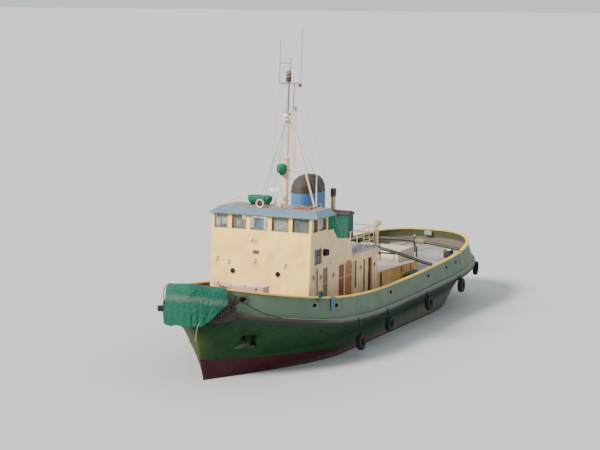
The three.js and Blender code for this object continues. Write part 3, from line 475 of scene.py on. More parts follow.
# Second coats, in the order they lie: finish, colour, how and along or around what its distance
# is measured, start, full, most and how ragged its edge is
COATS = [
    ("bottom_paint", 0x0A3E19, ALONG, WATER, 0.15, 0.19, 1.0, 0.02),
    ("topside_paint", 0x484C26, AROUND, (13.0, -1.15, 1.4), 1.75, 0.95, 0.85, 0.1),
    # Painted highlight: a lighter green round each anchor pocket stands for sunlight on the pocket's inner
    # walls
    ("topside_paint", 0x5C7458, AROUND, (11.42, 1.55, 1.6), 0.4, 0.1, 0.6, 0.03),
    ("topside_paint", 0x5C7458, AROUND, (11.42, -1.55, 1.6), 0.4, 0.1, 0.6, 0.03),
    ("topside_paint", 0x400B16, ALONG, WATER, 0.19, 0.15, 1.0, 0.02),
    ("topside_paint", 0x6E645E, ALONG, (0.055, 0, 1), 0.75, 0.15, 0.8, 0.3),
    # Wet paint and painted shade: darker just above the waterline, where the hull meets the floor
    ("topside_paint", 0x1C2019, ALONG, UP, 0.16, 0.02, 0.6, 0.04),
    ("bottom_paint", 0x6E645E, ALONG, (0.055, 0, 1), 0.75, 0.15, 0.8, 0.3),
    # Wet paint and painted shade: darker just above the waterline, where the hull meets the floor
    ("bottom_paint", 0x1C2019, ALONG, UP, 0.16, 0.02, 0.6, 0.04),
    ("belting_rubber", 0x6F756B, HEIGHT, None, -0.22, -0.12, 0.8, 0.04),
    ("belting_rubber", 0x33241E, ALONG, FORWARD, 7.0, 9.5, 0.85, 0.4),
    # Paint and painted shade: the belting's lower face takes a green darker than the topsides', for the
    # topsides' paint and the shade under the belting
    ("belting_rubber", 0x10291A, HEIGHT, None, -0.20, -0.24, 0.95, 0.02),
    # Painted highlight: a thin pale line along the belting's top edge, where it catches the light
    ("belting_rubber", 0x9AA09A, HEIGHT, None, -0.035, -0.015, 0.8, 0.006),
    ("bulwark_inner_paint", 0x7C746C, HEIGHT, None, 0.56, 0.44, 0.8, 0.05),
    ("green_canvas", 0x6A6E62, HEIGHT, None, 0.56, 0.40, 0.36, 0.22),
    ("green_canvas", 0x04503C, HEIGHT, None, 0.30, 0.16, 0.95, 0.16),
    ("exhaust_paint", 0x4A3326, ALONG, UP, 6.90, 7.0, 1.0, 0.05),
    ("mast_paint", 0x54504A, ALONG, UP, 11.24, 11.28, 0.85, 0.02),
    ("mast_paint", 0xC9865C, ALONG, PATCHES, 0.16, 0.35, 0.45, 1.0),
    ("front_wall_paint", 0xF0C070, ALONG, PATCHES, 0.05, 0.35, 0.45, 1.0),
    ("side_wall_paint", 0xD6A284, ALONG, PATCHES, 0.12, 0.4, 0.4, 1.0),
    ("rail_paint", 0xE59A4C, ALONG, PATCHES, 0.05, 0.3, 0.5, 1.0),
    ("bulwark_paint", 0x6F6A62, ALONG, PATCHES, 0.14, 0.35, 0.5, 1.0)]

# Stains on the front wall: colour, across, height, reach and strength
WALL_STAINS = [
    (0xC98A4E, -0.24, 5.40, 0.22, 0.75), (0xE9BC52, -1.55, 5.10, 0.5, 0.8),
    (0xE9BC52, 1.9, 5.05, 0.55, 0.75), (0xD89A58, 0.55, 4.75, 0.30, 0.5),
    (0xD9A05E, -2.20, 4.36, 0.22, 0.5), (0xD9A05E, -0.22, 4.3, 0.28, 0.45),
    (0xE0A888, -2.30, 3.35, 0.45, 0.6), (0xE2A070, -2.1, 2.9, 0.6, 0.5),
    (0xE0A070, 2.4, 3.1, 0.5, 0.5), (0xE8B080, -1.55, 3.75, 0.3, 0.5),
    (0xE6B57A, 1.3, 4.25, 0.3, 0.5), (0xE0A878, 0.2, 3.3, 0.6, 0.35)]


def make_materials():
    paint = bpy.context.scene.tug_paint

    def colour(value):
        """Linear colour of a hex number or of a field that the user can change."""
        if isinstance(value, str):
            return list(getattr(paint, value))
        return linear(value) if isinstance(value, int) else value

    for name, first, second, rust, streaks, *rest in PAINTS:
        other = shade(colour(first), second) if isinstance(second, float) else colour(second)
        weathered_paint(name, colour(first), other, rust, streaks, **dict(*rest))
    for maker, name, *values in FINISHES:
        maker(name, *[colour(value) for value in values])
    for coat in COATS:
        second_coat(*coat)
    for stain, y, z, reach, most in WALL_STAINS:
        second_coat("front_wall_paint", stain, AROUND, (front_x(z), y, z), reach, reach * 0.2,
                    most, 0.12)


# Mesh helpers
def turned(direction, place):
    """Matrix that turns +Z to a direction and moves to a place."""
    turn = UP.rotation_difference(Vector(direction).normalized()).to_matrix().to_4x4()
    return Matrix.Translation(Vector(place)) @ turn


def block(bm, low, high, rim=0.0):
    low, high = Vector(low), Vector(high)
    size = high - low
    matrix = Matrix.Translation((low + high) / 2) @ Matrix.Diagonal((*size, 1))
    made = bmesh.ops.create_cube(bm, size=1, matrix=matrix)["verts"]
    if rim:
        edges = {e for v in made for e in v.link_edges}
        bmesh.ops.bevel(bm, geom=list(edges), offset=min(rim, min(size) * 0.45), segments=2,
                        profile=0.5, affect="EDGES", material=-1)


def rod(bm, start, end, radius, sides=14, end_radius=None):
    start, end = Vector(start), Vector(end)
    bmesh.ops.create_cone(
        bm, cap_ends=True, segments=sides, radius1=radius,
        radius2=radius if end_radius is None else end_radius, depth=(end - start).length,
        matrix=turned(end - start, (start + end) / 2))


def ball(bm, place, radius, scale=(1, 1, 1)):
    matrix = Matrix.Translation(Vector(place)) @ Matrix.Diagonal((*scale, 1))
    bmesh.ops.create_uvsphere(bm, u_segments=16, v_segments=10, radius=radius, matrix=matrix)


def run(bm, points, radius, sides=10):
    """A pipe along a line of points, with rounded corners."""
    for start, end in zip(points, points[1:]):
        rod(bm, start, end, radius, sides)
    for place in points[1:-1]:
        bmesh.ops.create_icosphere(bm, subdivisions=2, radius=radius * 1.02,
                                   matrix=Matrix.Translation(Vector(place)))


def grip(bm, start, end, lift, radius=0.012):
    """A bar that stands off between two feet."""
    raised = [tuple(a + b for a, b in zip(foot, lift)) for foot in (start, end)]
    run(bm, [start, *raised, end], radius, 8)


def settle(bm, before, place, direction):
    """Turns what was made since a moment to its direction and place, and returns its vertices."""
    fresh = [v for v in bm.verts if v not in before]
    bmesh.ops.transform(bm, matrix=turned(direction, place), verts=fresh)
    faces = [f for f in bm.faces if all(v not in before for v in f.verts)]
    bmesh.ops.recalc_face_normals(bm, faces=faces)
    return fresh


def lathe(bm, profile, place, direction, steps=24):
    """Turns a profile of (radius, height) pairs about a direction."""
    before = set(bm.verts)
    verts = [bm.verts.new((r, 0, h)) for r, h in profile]
    edges = [bm.edges.new(pair) for pair in zip(verts, verts[1:])]
    bmesh.ops.spin(bm, geom=verts + edges, cent=(0, 0, 0), axis=UP, angle=2 * math.pi,
                   steps=steps, use_merge=True)
    fresh = [v for v in bm.verts if v not in before]
    bmesh.ops.remove_doubles(bm, verts=fresh, dist=1e-5)
    return settle(bm, before, place, direction)


def hoop(bm, place, direction, radius, thickness, steps=28, sides=10):
    """A ring of round section."""
    before = set(bm.verts)
    centre = Matrix.Translation((radius, 0, 0)) @ Matrix.Rotation(math.pi / 2, 4, "X")
    made = bmesh.ops.create_circle(bm, segments=sides, radius=thickness, matrix=centre)["verts"]
    edges = list({e for v in made for e in v.link_edges})
    bmesh.ops.spin(bm, geom=made + edges, cent=(0, 0, 0), axis=UP, angle=2 * math.pi,
                   steps=steps, use_merge=True)
    return settle(bm, before, place, direction)


def band(radius, thick, tall):
    """Profile of a flat band round a pipe."""
    return [(radius, 0), (radius + thick, 0.004), (radius + thick, tall), (radius, tall + 0.004)]


def piece(name, bm, material, body="hull", smooth=35, replaces=()):
    """Makes an object of the mesh, gives it its finish and puts it on its body."""
    mesh = bpy.data.meshes.new(name)
    bm.to_mesh(mesh)
    bm.free()
    for polygon in mesh.polygons:
        polygon.use_smooth = True
    mesh.set_sharp_from_angle(angle=math.radians(smooth))
    made = bpy.data.objects.new(name, mesh)
    bpy.context.scene.collection.objects.link(made)
    mesh.materials.append(MATERIALS[material])
    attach(made, body)
    if replaces:
        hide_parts(*replaces)
    return made


def shaped(parts):
    """A mesh of parts, each given as its maker and that maker's values."""
    bm = bmesh.new()
    for maker, *values in parts:
        maker(bm, *values)
    return bm


def build(name, material, slot, *parts, body="hull", front=False):
    """A piece made of parts. With front, it slides from x = 0 onto the raking front wall."""
    bm = shaped(parts)
    if front:
        for vert in bm.verts:
            vert.co.x += front_x(vert.co.z)
    return piece(name, bm, material, body)


def cloth(name, bm, material, thickness, offset, replaces=()):
    """A sheet of canvas. Returns it with the area of its cloth."""
    bmesh.ops.recalc_face_normals(bm, faces=bm.faces)
    area = sum(face.calc_area() for face in bm.faces)
    made = piece(name, bm, material, smooth=80, replaces=replaces)
    thick = made.modifiers.new("cloth thickness", "SOLIDIFY")
    thick.thickness = thickness
    thick.offset = offset
    return made, area


NODE_BODY = {node: body for body, nodes in frame["record"]["behaviour"]["bodies"].items()
             for node in nodes}


def merged(node):
    """A bmesh of a frame node with its loose triangles joined."""
    bm = bmesh.new()
    bm.from_mesh(frame["nodes"][node].data)
    bmesh.ops.remove_doubles(bm, verts=bm.verts, dist=1e-4)
    return bm


def store_height(made):
    """Keeps each vertex's height over the deck for finishes that follow the sheer."""
    heights = made.data.attributes.new("height", "FLOAT", "POINT")
    for vert, value in zip(made.data.vertices, heights.data):
        value.value = vert.co.z - deck_z(vert.co.x)


def dress(node, material, rim=0.0, smooth=35):
    """A frame node's copy with softened edges, in the node's place."""
    bm = merged(node)
    bmesh.ops.dissolve_limit(bm, angle_limit=math.radians(1), verts=bm.verts, edges=bm.edges)
    made = piece(f"{node}_shell", bm, material, NODE_BODY[node], smooth, [node])
    if node.startswith(("belting", "bulwark")):
        store_height(made)
    if rim:
        soften = made.modifiers.new("soft edges", "BEVEL")
        soften.width = rim
        soften.segments = 2
        soften.limit_method = "ANGLE"
        soften.angle_limit = math.radians(40)
    return made


def dress_with_top(node, material, top, level, rim):
    """Dresses a node and gives its faces that look up a finish of their own."""
    made = dress(node, material, rim)
    made.data.materials.append(MATERIALS[top])
    for polygon in made.data.polygons:
        if polygon.normal.z > level:
            polygon.material_index = 1


def paint_node(node, material):
    """Gives a frame node its finish."""
    made = frame["nodes"][node]
    made.data.materials.clear()
    made.data.materials.append(MATERIALS[material])


def flowing(places, cuts=6):
    """Points along a smooth line through the places."""
    ends = [places[0] * 2 - places[1]] + list(places) + [places[-1] * 2 - places[-2]]
    line = []
    for a, b, c, d in zip(ends, ends[1:], ends[2:], ends[3:]):
        for i in range(cuts):
            t = i / cuts
            line.append(0.5 * (2 * b + (c - a) * t + (2 * a - 5 * b + 4 * c - d) * t * t
                               + (3 * b - a - 3 * c + d) * t ** 3))
    return line + [places[-1]]


def rope(name, places, radius, material, far_end, smooth=True):
    """A rope along a line of places, with a knot at its far end when asked."""
    line = flowing([Vector(p) for p in places]) if smooth else places
    curve = bpy.data.curves.new(name, "CURVE")
    curve.dimensions = "3D"
    curve.bevel_depth = radius
    curve.bevel_resolution = 3
    curve.use_fill_caps = True
    strand = curve.splines.new("POLY")
    strand.points.add(len(line) - 1)
    for point, place in zip(strand.points, line):
        point.co = (*place, 1)
    made = bpy.data.objects.new(name, curve)
    bpy.context.scene.collection.objects.link(made)
    curve.materials.append(MATERIALS[material])
    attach(made, "hull")
    if far_end == "knot":
        bm = bmesh.new()
        bmesh.ops.create_icosphere(bm, subdivisions=3, radius=radius * 2.1,
                                   matrix=Matrix.Translation(line[-1]))
        for vert in bm.verts:
            vert.co += vert.normal * noise.noise(vert.co * 40) * radius * 0.7
        piece(f"{name}_knot", bm, material)
    return made


# Stage
def make_camera():
    heading, pitch, roll = (math.radians(a) for a in (CAMERA_HEADING, CAMERA_PITCH, CAMERA_ROLL))
    ahead = Vector((math.cos(pitch) * math.cos(heading), math.cos(pitch) * math.sin(heading),
                    math.sin(pitch)))
    level = ahead.cross(UP).normalized()
    above = level.cross(ahead)
    right = math.cos(roll) * level + math.sin(roll) * above
    upward = -math.sin(roll) * level + math.cos(roll) * above
    turn = Matrix((right, upward, -ahead)).transposed().to_4x4()
    data = bpy.data.cameras.new("view")
    data.lens = CAMERA_LENS
    data.sensor_width = 36
    data.sensor_fit = "HORIZONTAL"
    data.clip_end = 9000
    made = bpy.data.objects.new("view", data)
    bpy.context.scene.collection.objects.link(made)
    made.matrix_world = Matrix.Translation(CAMERA_PLACE) @ turn
    bpy.context.scene.camera = made


class TUG_OT_stage(bpy.types.Operator):
    """Adds the camera, the pale floor at the waterline and the soft light"""
    bl_idname = "tug.stage"
    bl_label = "Stage"

    def execute(self, context):
        make_camera()
        settings = context.scene.tug_stage
        bm = bmesh.new()
        bmesh.ops.create_grid(bm, x_segments=1, y_segments=1, size=FLOOR_HALF)
        mesh = bpy.data.meshes.new("floor")
        bm.to_mesh(mesh)
        bm.free()
        floor = bpy.data.objects.new("floor", mesh)
        context.scene.collection.objects.link(floor)
        material = bpy.data.materials.new("pale_floor")
        material.use_nodes = True
        shader = material.node_tree.nodes["Principled BSDF"]
        shader.inputs["Base Color"].default_value = linear(0xC9CDCD)
        shader.inputs["Roughness"].default_value = 0.7
        mesh.materials.append(material)
        sun = bpy.data.lights.new("soft_sun", "SUN")
        sun.energy = settings.sun
        sun.angle = math.radians(SUN_WIDTH)
        sun.color = SUN_TINT
        lamp = bpy.data.objects.new("soft_sun", sun)
        context.scene.collection.objects.link(lamp)
        lamp.matrix_world = turned(SUN_FROM, (0, 0, 30))
        world = bpy.data.worlds.new("pale_sky")
        world.use_nodes = True
        back = world.node_tree.nodes["Background"]
        back.inputs["Color"].default_value = linear(0xD8DEE2)
        back.inputs["Strength"].default_value = settings.sky
        context.scene.world = world
        return {"FINISHED"}


# Hull. A rope port is (place along, width, height) and a scupper is (place along, height).
PORTS = [(12.65, 0.42, 0.23), (9.05, 0.33, 0.20), (7.35, 0.33, 0.20), (1.1, 0.33, 0.20),
         (-3.9, 0.33, 0.20), (-6.4, 0.33, 0.20), (-7.9, 0.33, 0.20)]
BRACKET_SPACING = 1.15
SCUPPERS = [(7.95, 1.63), (5.6, 1.28)]
ANCHOR_X, ANCHOR_Y, ANCHOR_Z, ANCHOR_TURN = 11.65, 1.22, 1.74, 0.42


class TUG_OT_hull(bpy.types.Operator):
    """Paints the hull, bulwarks, cap rails and belting and adds the bulwark's brackets"""
    bl_idname = "tug.hull"
    bl_label = "Hull"

    def execute(self, context):
        dress("hull_bottom", "bottom_paint", smooth=50)
        dress("hull_topsides", "topside_paint", smooth=50)
        for name, side in SIDES.items():
            self.bulwark(name, side)
            dress(f"cap_rail_{name}", "rail_paint", 0.012)
            dress(f"belting_{name}", "belting_rubber", 0.008)
            self.rims(name, side)
            self.anchor(name, side)
        for node in ("fore_deck", "main_deck", "after_deck"):
            paint_node(node, "deck_paint")
        return {"FINISHED"}

    def bulwark(self, name, side):
        """The plate with its inner side in another paint, its brackets and its stringer."""
        plate = dress(f"bulwark_{name}", "bulwark_paint", smooth=40)
        plate.data.materials.append(MATERIALS["bulwark_inner_paint"])
        for polygon in plate.data.polygons:
            centre, facing = polygon.center, polygon.normal
            if centre.x * facing.x * 0.08 + centre.y * facing.y < 0:
                polygon.material_index = 1
        brackets = bmesh.new()
        for i in range(int(25 / BRACKET_SPACING)):
            x = -12.6 + i * BRACKET_SPACING
            outward = rail_place(x, side)[1]
            foot, head = hull_line(side, (x, -0.06, 0.05), (x, -0.06, 0.92))
            half = outward.cross(UP) * 0.008
            corners = [foot, foot - outward * 0.26, head - outward * 0.05, head]
            face = brackets.faces.new([brackets.verts.new(p - half) for p in corners])
            solid = bmesh.ops.extrude_face_region(brackets, geom=[face])["geom"]
            bmesh.ops.translate(brackets, vec=half * 2,
                                verts=[g for g in solid if isinstance(g, bmesh.types.BMVert)])
        for x in range(-13, 12):
            rod(brackets, *hull_line(side, (x, -0.075, 0.55), (x + 1, -0.075, 0.55)), 0.022, 6)
        bmesh.ops.recalc_face_normals(brackets, faces=brackets.faces)
        store_height(piece(f"bulwark_brackets_{name}", brackets, "bulwark_inner_paint"))

    def rims(self, name, side):
        """Half-round bars at the rope ports, with near-black cups in their throats as painted shade inside
        the ports, and small scuppers lower down drawn as near-black discs, painted shade in their holes.
        """
        rims, throats = bmesh.new(), bmesh.new()
        for x, width, height in PORTS:
            outward = rail_place(x, side)[1]
            turn = Matrix((outward.cross(UP), UP, outward)).transposed().to_4x4()
            place = Matrix.Translation(on_hull(x, side, 0, 0.6)) @ turn
            inner = height / 2 - 0.004
            bar = hoop(rims, (0, 0, 0), UP, height / 2 + 0.008, 0.013, 28, 8)
            throat = lathe(throats, [(0, -0.11), (inner, -0.11), (inner, 0), (inner - 0.012, 0),
                                     (inner - 0.012, -0.09), (0, -0.09)], (0, 0, 0), UP, 28)
            for bm, made in ((rims, bar), (throats, throat)):
                bmesh.ops.scale(bm, vec=(width / height, 1, 1), verts=made)
                bmesh.ops.transform(bm, matrix=place, verts=made)
        for x, z in SCUPPERS:
            place, outward = plating(x, side, z)
            rod(throats, place - outward * 0.02, place + outward * 0.006, 0.085, 16)
            hoop(throats, place, outward, 0.09, 0.012, 20, 6)
        for bm, key, finish in ((rims, "rims", "rim_paint"), (throats, "throats", "anchor_paint")):
            bmesh.ops.recalc_face_normals(bm, faces=bm.faces)
            piece(f"rope_port_{key}_{name}", bm, finish)

    def anchor(self, name, side):
        """A stockless anchor in its pocket, and the sloping plate that it rides up on. The anchor's black
        paint is deepened to near black as painted shade in the pocket, and the plate's lighter grey-green
        is a painted highlight for sunlight on the pocket's sill.
        """
        anchor = shaped([(rod, (0, 0, -0.1), (0, 0, 0.2), 0.055, 12),
                         (block, (-0.27, -0.07, -0.22), (0.27, 0.07, -0.06), 0.03),
                         (block, (-0.27, -0.03, -0.14), (-0.14, 0.05, 0.18), 0.03),
                         (block, (0.14, -0.03, -0.14), (0.27, 0.05, 0.18), 0.03)])
        lip = shaped([(block, (-0.41, -0.012, -0.17), (0.41, 0.012, 0.17), 0.008)])
        bmesh.ops.rotate(lip, matrix=Matrix.Rotation(0.6, 3, "X"), verts=lip.verts)
        bmesh.ops.translate(lip, vec=(0, 0.02, -0.25), verts=lip.verts)
        turn = Matrix.Rotation(-side * ANCHOR_TURN, 4, "Z") @ Matrix.Diagonal((1, side, 1, 1))
        place = Matrix.Translation((ANCHOR_X, side * ANCHOR_Y, ANCHOR_Z)) @ turn
        for key, bm, finish in (("anchor", anchor, "anchor_paint"), ("pocket_lip", lip, "lip_paint")):
            bmesh.ops.transform(bm, matrix=place, verts=bm.verts)
            bmesh.ops.recalc_face_normals(bm, faces=bm.faces)
            piece(f"{key}_{name}", bm, finish)


# Tyres from the bow aft: (place along, height of the middle)
TYRES = [(5.3, 0.725), (1.8, 1.0), (-3.4, 1.18), (-7.8, 1.45), (-12.6, 1.58)]
TYRE_OFFSET = 0.262


class TUG_OT_tyres(bpy.types.Operator):
    """Hangs treaded tyres on their ropes along the belting"""
    bl_idname = "tug.tyres"
    bl_label = "Tyre fenders"

    def execute(self, context):
        radius = context.scene.tug_sizes.tyre
        for name, side in SIDES.items():
            ropes = bmesh.new()
            for number, (x, z) in enumerate(TYRES, 1):
                place, outward = rail_place(x, side)
                centre = place + outward * (TYRE_OFFSET + lean(x))
                centre.z = z
                self.tyre(f"tyre_{name}_{number}", centre, outward, radius, number)
                hang = centre + UP * radius * 0.72
                catch = hang - outward * (TYRE_OFFSET - 0.15)
                catch.z = deck_z(x) - 0.2
                run(ropes, [hang - outward * 0.02, catch, catch - outward * 0.03 + UP * 0.14], 0.027, 8)
                run(ropes, [hang - outward * 0.14, hang + UP * 0.05 - outward * 0.04,
                            hang + UP * 0.02 + outward * 0.06], 0.024, 8)
            piece(f"tyre_ropes_{name}", ropes, "dark_rope")
        return {"FINISHED"}

    def tyre(self, name, centre, outward, radius, number):
        """A worn cross-ply tyre: tread blocks, grooves, sidewalls and a bead round the hole."""
        bm = bmesh.new()
        width = 0.124
        bead = radius - 0.24
        half = [(bead, 0.07), (bead + 0.03, 0.11), (radius - 0.11, width),
                (radius - 0.03, width * 0.86), (radius, width * 0.5), (radius - 0.014, 0.045),
                (radius - 0.014, 0.03), (radius, 0.025)]
        profile = [(r, -h) for r, h in half] + half[::-1] + [(bead, -0.07)]
        lathe(bm, profile, (0, 0, 0), UP, 64)
        centres = {f: f.calc_center_median() for f in bm.faces}
        angles = {f: math.atan2(c.y, c.x) for f, c in centres.items()
                  if 0.06 < abs(c.z) < 0.115 and c.xy.length > radius - 0.05}
        notch = [f for f in sorted(angles, key=angles.get)
                 if int(math.degrees(angles[f]) / 11.25) % 2 == 0]
        bmesh.ops.inset_individual(bm, faces=notch, thickness=0.004, depth=-0.012)
        tilt = Matrix.Rotation(math.radians(7 * math.sin(number * 2.3)), 4, "X")
        bmesh.ops.transform(bm, matrix=turned(outward, centre) @ tilt, verts=bm.verts)
        piece(name, bm, "tyre_rubber", smooth=45)


# Bow canvas. Each row is (offset from the rail line, height over the deck).
DRAPE = [(0.10, 0.992), (0.17, 0.99), (0.235, 0.95), (0.285, 0.87), (0.32, 0.76), (0.338, 0.62),
         (0.350, 0.45), (0.356, 0.25), (0.356, 0.05), (0.354, -0.15), (0.350, -0.42),
         (0.346, -0.70)]
# The part that lies over the cap rail, from its inner edge, and its share of the cloth's depth
LAP = [(-0.125, 0.955), (-0.120, 1.006), (0.0, 1.014), (0.070, 1.010), (0.10, 0.992)]
LAP_SHARE = 0.08
# The hem's height, and how steeply it rises aft of a place on the port side
HEM = -0.78
HEM_SLOPE = 1.65
HEM_RISE_X = 13.93


def between(rows, share):
    """The pair at a share of the way down a list of pairs."""
    step = share * (len(rows) - 1)
    i = min(int(step), len(rows) - 2)
    return [a + (b - a) * (step - i) for a, b in zip(rows[i], rows[i + 1])]


class TUG_OT_bow(bpy.types.Operator):
    """Makes the bow fender and drapes the green canvas over it"""
    bl_idname = "tug.bow"
    bl_label = "Bow fender and canvas"

    def execute(self, context):
        self.fender()
        self.canvas(context.scene.tug_sizes.fold)
        self.tangle()
        self.lines()
        return {"FINISHED"}

    def fender(self):
        """The bow fender, whose lower edge is worn away towards its port end."""
        made = dress("bow_fender", "fender_rubber", 0.03)
        for vert in made.data.vertices:
            low = deck_z(vert.co.x) - 0.16
            if vert.co.z < low and vert.co.y > 0:
                vert.co.z += (low - vert.co.z) * 0.72 * clamp((13.6 - vert.co.x) / 0.6)

    def canvas(self, fold):
        """A grid of cloth bent over the rail and the fender, with hanging folds."""
        bm = bmesh.new()
        bmesh.ops.create_grid(bm, x_segments=190, y_segments=90, size=0.5)
        for vert in bm.verts:
            vert.co = self.drape(vert.co.x + 0.5, 0.5 - vert.co.y, fold)
        made, area = cloth("bow_canvas", bm, "green_canvas", 0.004, 0, ["bow_tarp"])
        store_height(made)

    def station(self, across):
        """Place along the rail, 0 at the port edge and 1 at the starboard edge."""
        turn = across * 2 - 1
        reach = 0.83 if turn < 0 else 0.86
        x = HULL_END - 0.006 - reach * abs(turn) ** 1.9
        return x, (1 if turn < 0 else -1), turn

    def drape(self, across, down, fold):
        """Place of a point of the cloth, by its shares across and down."""
        x, side, turn = self.station(across)
        place, outward = rail_place(x, side)
        if abs(turn) < 0.1:
            ahead = 1 - abs(turn) / 0.1
            outward = outward.lerp(FORWARD, ahead).normalized()
        if down < LAP_SHARE:
            offset, height = between(LAP, down / LAP_SHARE)
        else:
            offset, height = self.hanging(across, (down - LAP_SHARE) / (1 - LAP_SHARE), fold)
        point = place + outward * offset
        point.z = deck_z(place.x) + height
        return point

    def hanging(self, across, down, fold):
        """Offset and height of the part outside the rail, with its folds and creases."""
        x, side, turn = self.station(across)
        height_end = HEM + 0.03 * math.sin(across * 21)
        if x < HEM_RISE_X and side > 0:
            height_end += (HEM_RISE_X - x) * HEM_SLOPE
        height = between(DRAPE, down)[1]
        top, foot = DRAPE[0][1], DRAPE[-1][1]
        height = top - (top - height) * (top - height_end) / (top - foot)
        loose = clamp((0.55 - height) / 0.9)
        pleat = math.sin(across * 58 + 1.6 * math.sin(across * 13 + 1))
        deep = fold * (0.7 + 1.6 * clamp((turn - 0.15) * 3))
        wave = (0.5 + 0.5 * pleat) * deep * loose
        sweep = noise.noise(Vector((across * 6, down * 3.2, 0.3)))
        crease = noise.noise(Vector((across * 22 + down * 7, down * 9 - across * 8, 4.1)))
        swell = (sweep * 0.03 + (1 - 2.4 * abs(crease)) * 0.02) * min(down * 5, 1)
        lift = min(wave + swell, 0.05 + 0.07 * min(abs(turn) * 2, 1))
        return self.offset_at(height) + max(lift, -0.004), height

    def offset_at(self, height):
        for (near, high), (far, low) in zip(DRAPE, DRAPE[1:]):
            if height >= low:
                return near + (far - near) * clamp((high - height) / (high - low))
        return DRAPE[-1][0]

    def tangle(self):
        """Spare rope and an old cork fender hung under the canvas's port edge."""
        bm = bmesh.new()
        for i in range(9):
            x = 13.55 - i * 0.07
            hem = HEM + (HEM_RISE_X - x) * HEM_SLOPE
            for j in range(3):
                height = hem - 0.07 - j * 0.15 + 0.03 * math.sin(i * 5 + j * 3)
                if height > -0.5:
                    ball(bm, on_hull(x, 1, 0.30 - 0.02 * j, height), 0.075, (1, 1, 1.1))
        bmesh.ops.remove_doubles(bm, verts=bm.verts, dist=1e-5)
        for vert in bm.verts:
            vert.co += vert.normal * noise.noise(vert.co * 14) * 0.03
        piece("cork_fender", bm, "dark_rope")

    def lines(self):
        """The line that sags from the bow rope port, the canvas's lashing and a hanging line."""
        port = hull_line(1, (12.60, 0.03, 0.50), (12.5, 0.06, 0.42), (12.3, 0.055, 0.30),
                         (12.0, 0.05, 0.17), (11.7, 0.06, 0.08), (11.35, 0.10, 0.02),
                         (11.1, 0.112, 0.006))
        rope("sagging_line", port, 0.014, "dark_rope", far_end="object")
        arc = hull_line(-1, (13.34, 0.12, 1.02), (13.24, 0.30, 0.98), (13.20, 0.42, 0.74),
                        (13.20, 0.44, 0.45), (13.22, 0.42, 0.2), (13.24, 0.33, 0.02))
        rope("canvas_lashing", arc, 0.018, "dark_rope", far_end="object")
        tail = hull_line(1, (13.90, 0.36, -0.55), (13.94, 0.40, -0.70), (13.96, 0.38, -0.95),
                         (13.97, 0.33, -1.15), (13.98, 0.28, -1.35))
        rope("hanging_line", tail, 0.011, "laid_rope", far_end="knot")


# House
PANES = [(-2.43, -1.75), (-1.53, -0.78), (-0.56, 0.33), (0.53, 1.40), (1.58, 2.44)]
PANE_LOW, PANE_HIGH = 5.925, 6.575
SIDE_PANES = [(6.69, 7.18), (5.745, 6.56)]
SIDE_LOW, SIDE_HIGH = 5.935, 6.56
# How far a window's wooden bars reach into its opening
REVEAL = 0.018
LOWER_WINDOW = (6.27, 7.08, 4.43, 5.14)
# What shows behind the front panes: name, finish, y0, y1, z0, z1
BEHIND_PANES = [
    ("window_board", "board_paint", 0.56, 1.38, 5.95, 6.56),
    ("blind", "board_paint", -2.42, -1.78, 6.38, 6.56),
    ("chart", "skiff_paint", -1.45, -1.15, 6.0, 6.42),
    ("coat", "red_lead_paint", -1.10, -0.82, 5.9, 6.35),
    ("locker_door", "blue_paint", -0.50, 0.02, 5.9, 6.45),
    ("paper", "white_paint", 0.06, 0.24, 6.05, 6.30),
    ("curtain", "teal_paint", 1.62, 2.40, 5.9, 6.50)]
SIDE_PORTHOLES = [(7.17, 3.90), (6.36, 3.79), (4.96, 3.71), (1.75, 3.61), (0.04, 3.54)]
FRONT_PORTHOLES = [(-1.37, 3.97), (0.96, 3.97)]
# Doors: name, aft, fore, foot, head, finish, arched
DOORS = [("fore", 5.60, 6.08, 2.15, 4.13, "door_grey_paint", False),
         ("middle", 3.72, 4.30, 2.03, 4.04, "door_brown_paint", False),
         ("after", 2.80, 3.56, 1.99, 4.14, "door_ochre_paint", True)]


def mirror(bm, side):
    """Turns what was built to port into its mirror image where the side is starboard."""
    if side < 0:
        bmesh.ops.scale(bm, vec=(1, -1, 1), verts=bm.verts)
    bmesh.ops.recalc_face_normals(bm, faces=bm.faces)


def paired(name, material, slot, *parts):
    """A piece made of parts on the port side, and its mirror image to starboard."""
    for side_name, side in SIDES.items():
        bm = shaped(parts)
        mirror(bm, side)
        piece(f"{name}_{side_name}", bm, material)


def on_wall(bm, low, high, stand, rim, sunk=0.004):
    """A block on the port wall between two (x, z) corners."""
    block(bm, (low[0], WALL - sunk, low[1]), (high[0], WALL + stand, high[1]), rim)


def frame_bars(bm, low, high, depth, width, plane):
    """Four bars round an opening. The plane is the axis that the opening faces."""
    a0, b0 = low
    a1, b1 = high
    out0, out1 = depth
    for p, q, r, s in ((a0 - width, b0 - width, a1 + width, b0),
                       (a0 - width, b1, a1 + width, b1 + width),
                       (a0 - width, b0, a0, b1), (a1, b0, a1 + width, b1)):
        if plane == "x":
            block(bm, (out0, p, q), (out1, r, s), 0.006)
        else:
            block(bm, (p, out0, q), (r, out1, s), 0.006)


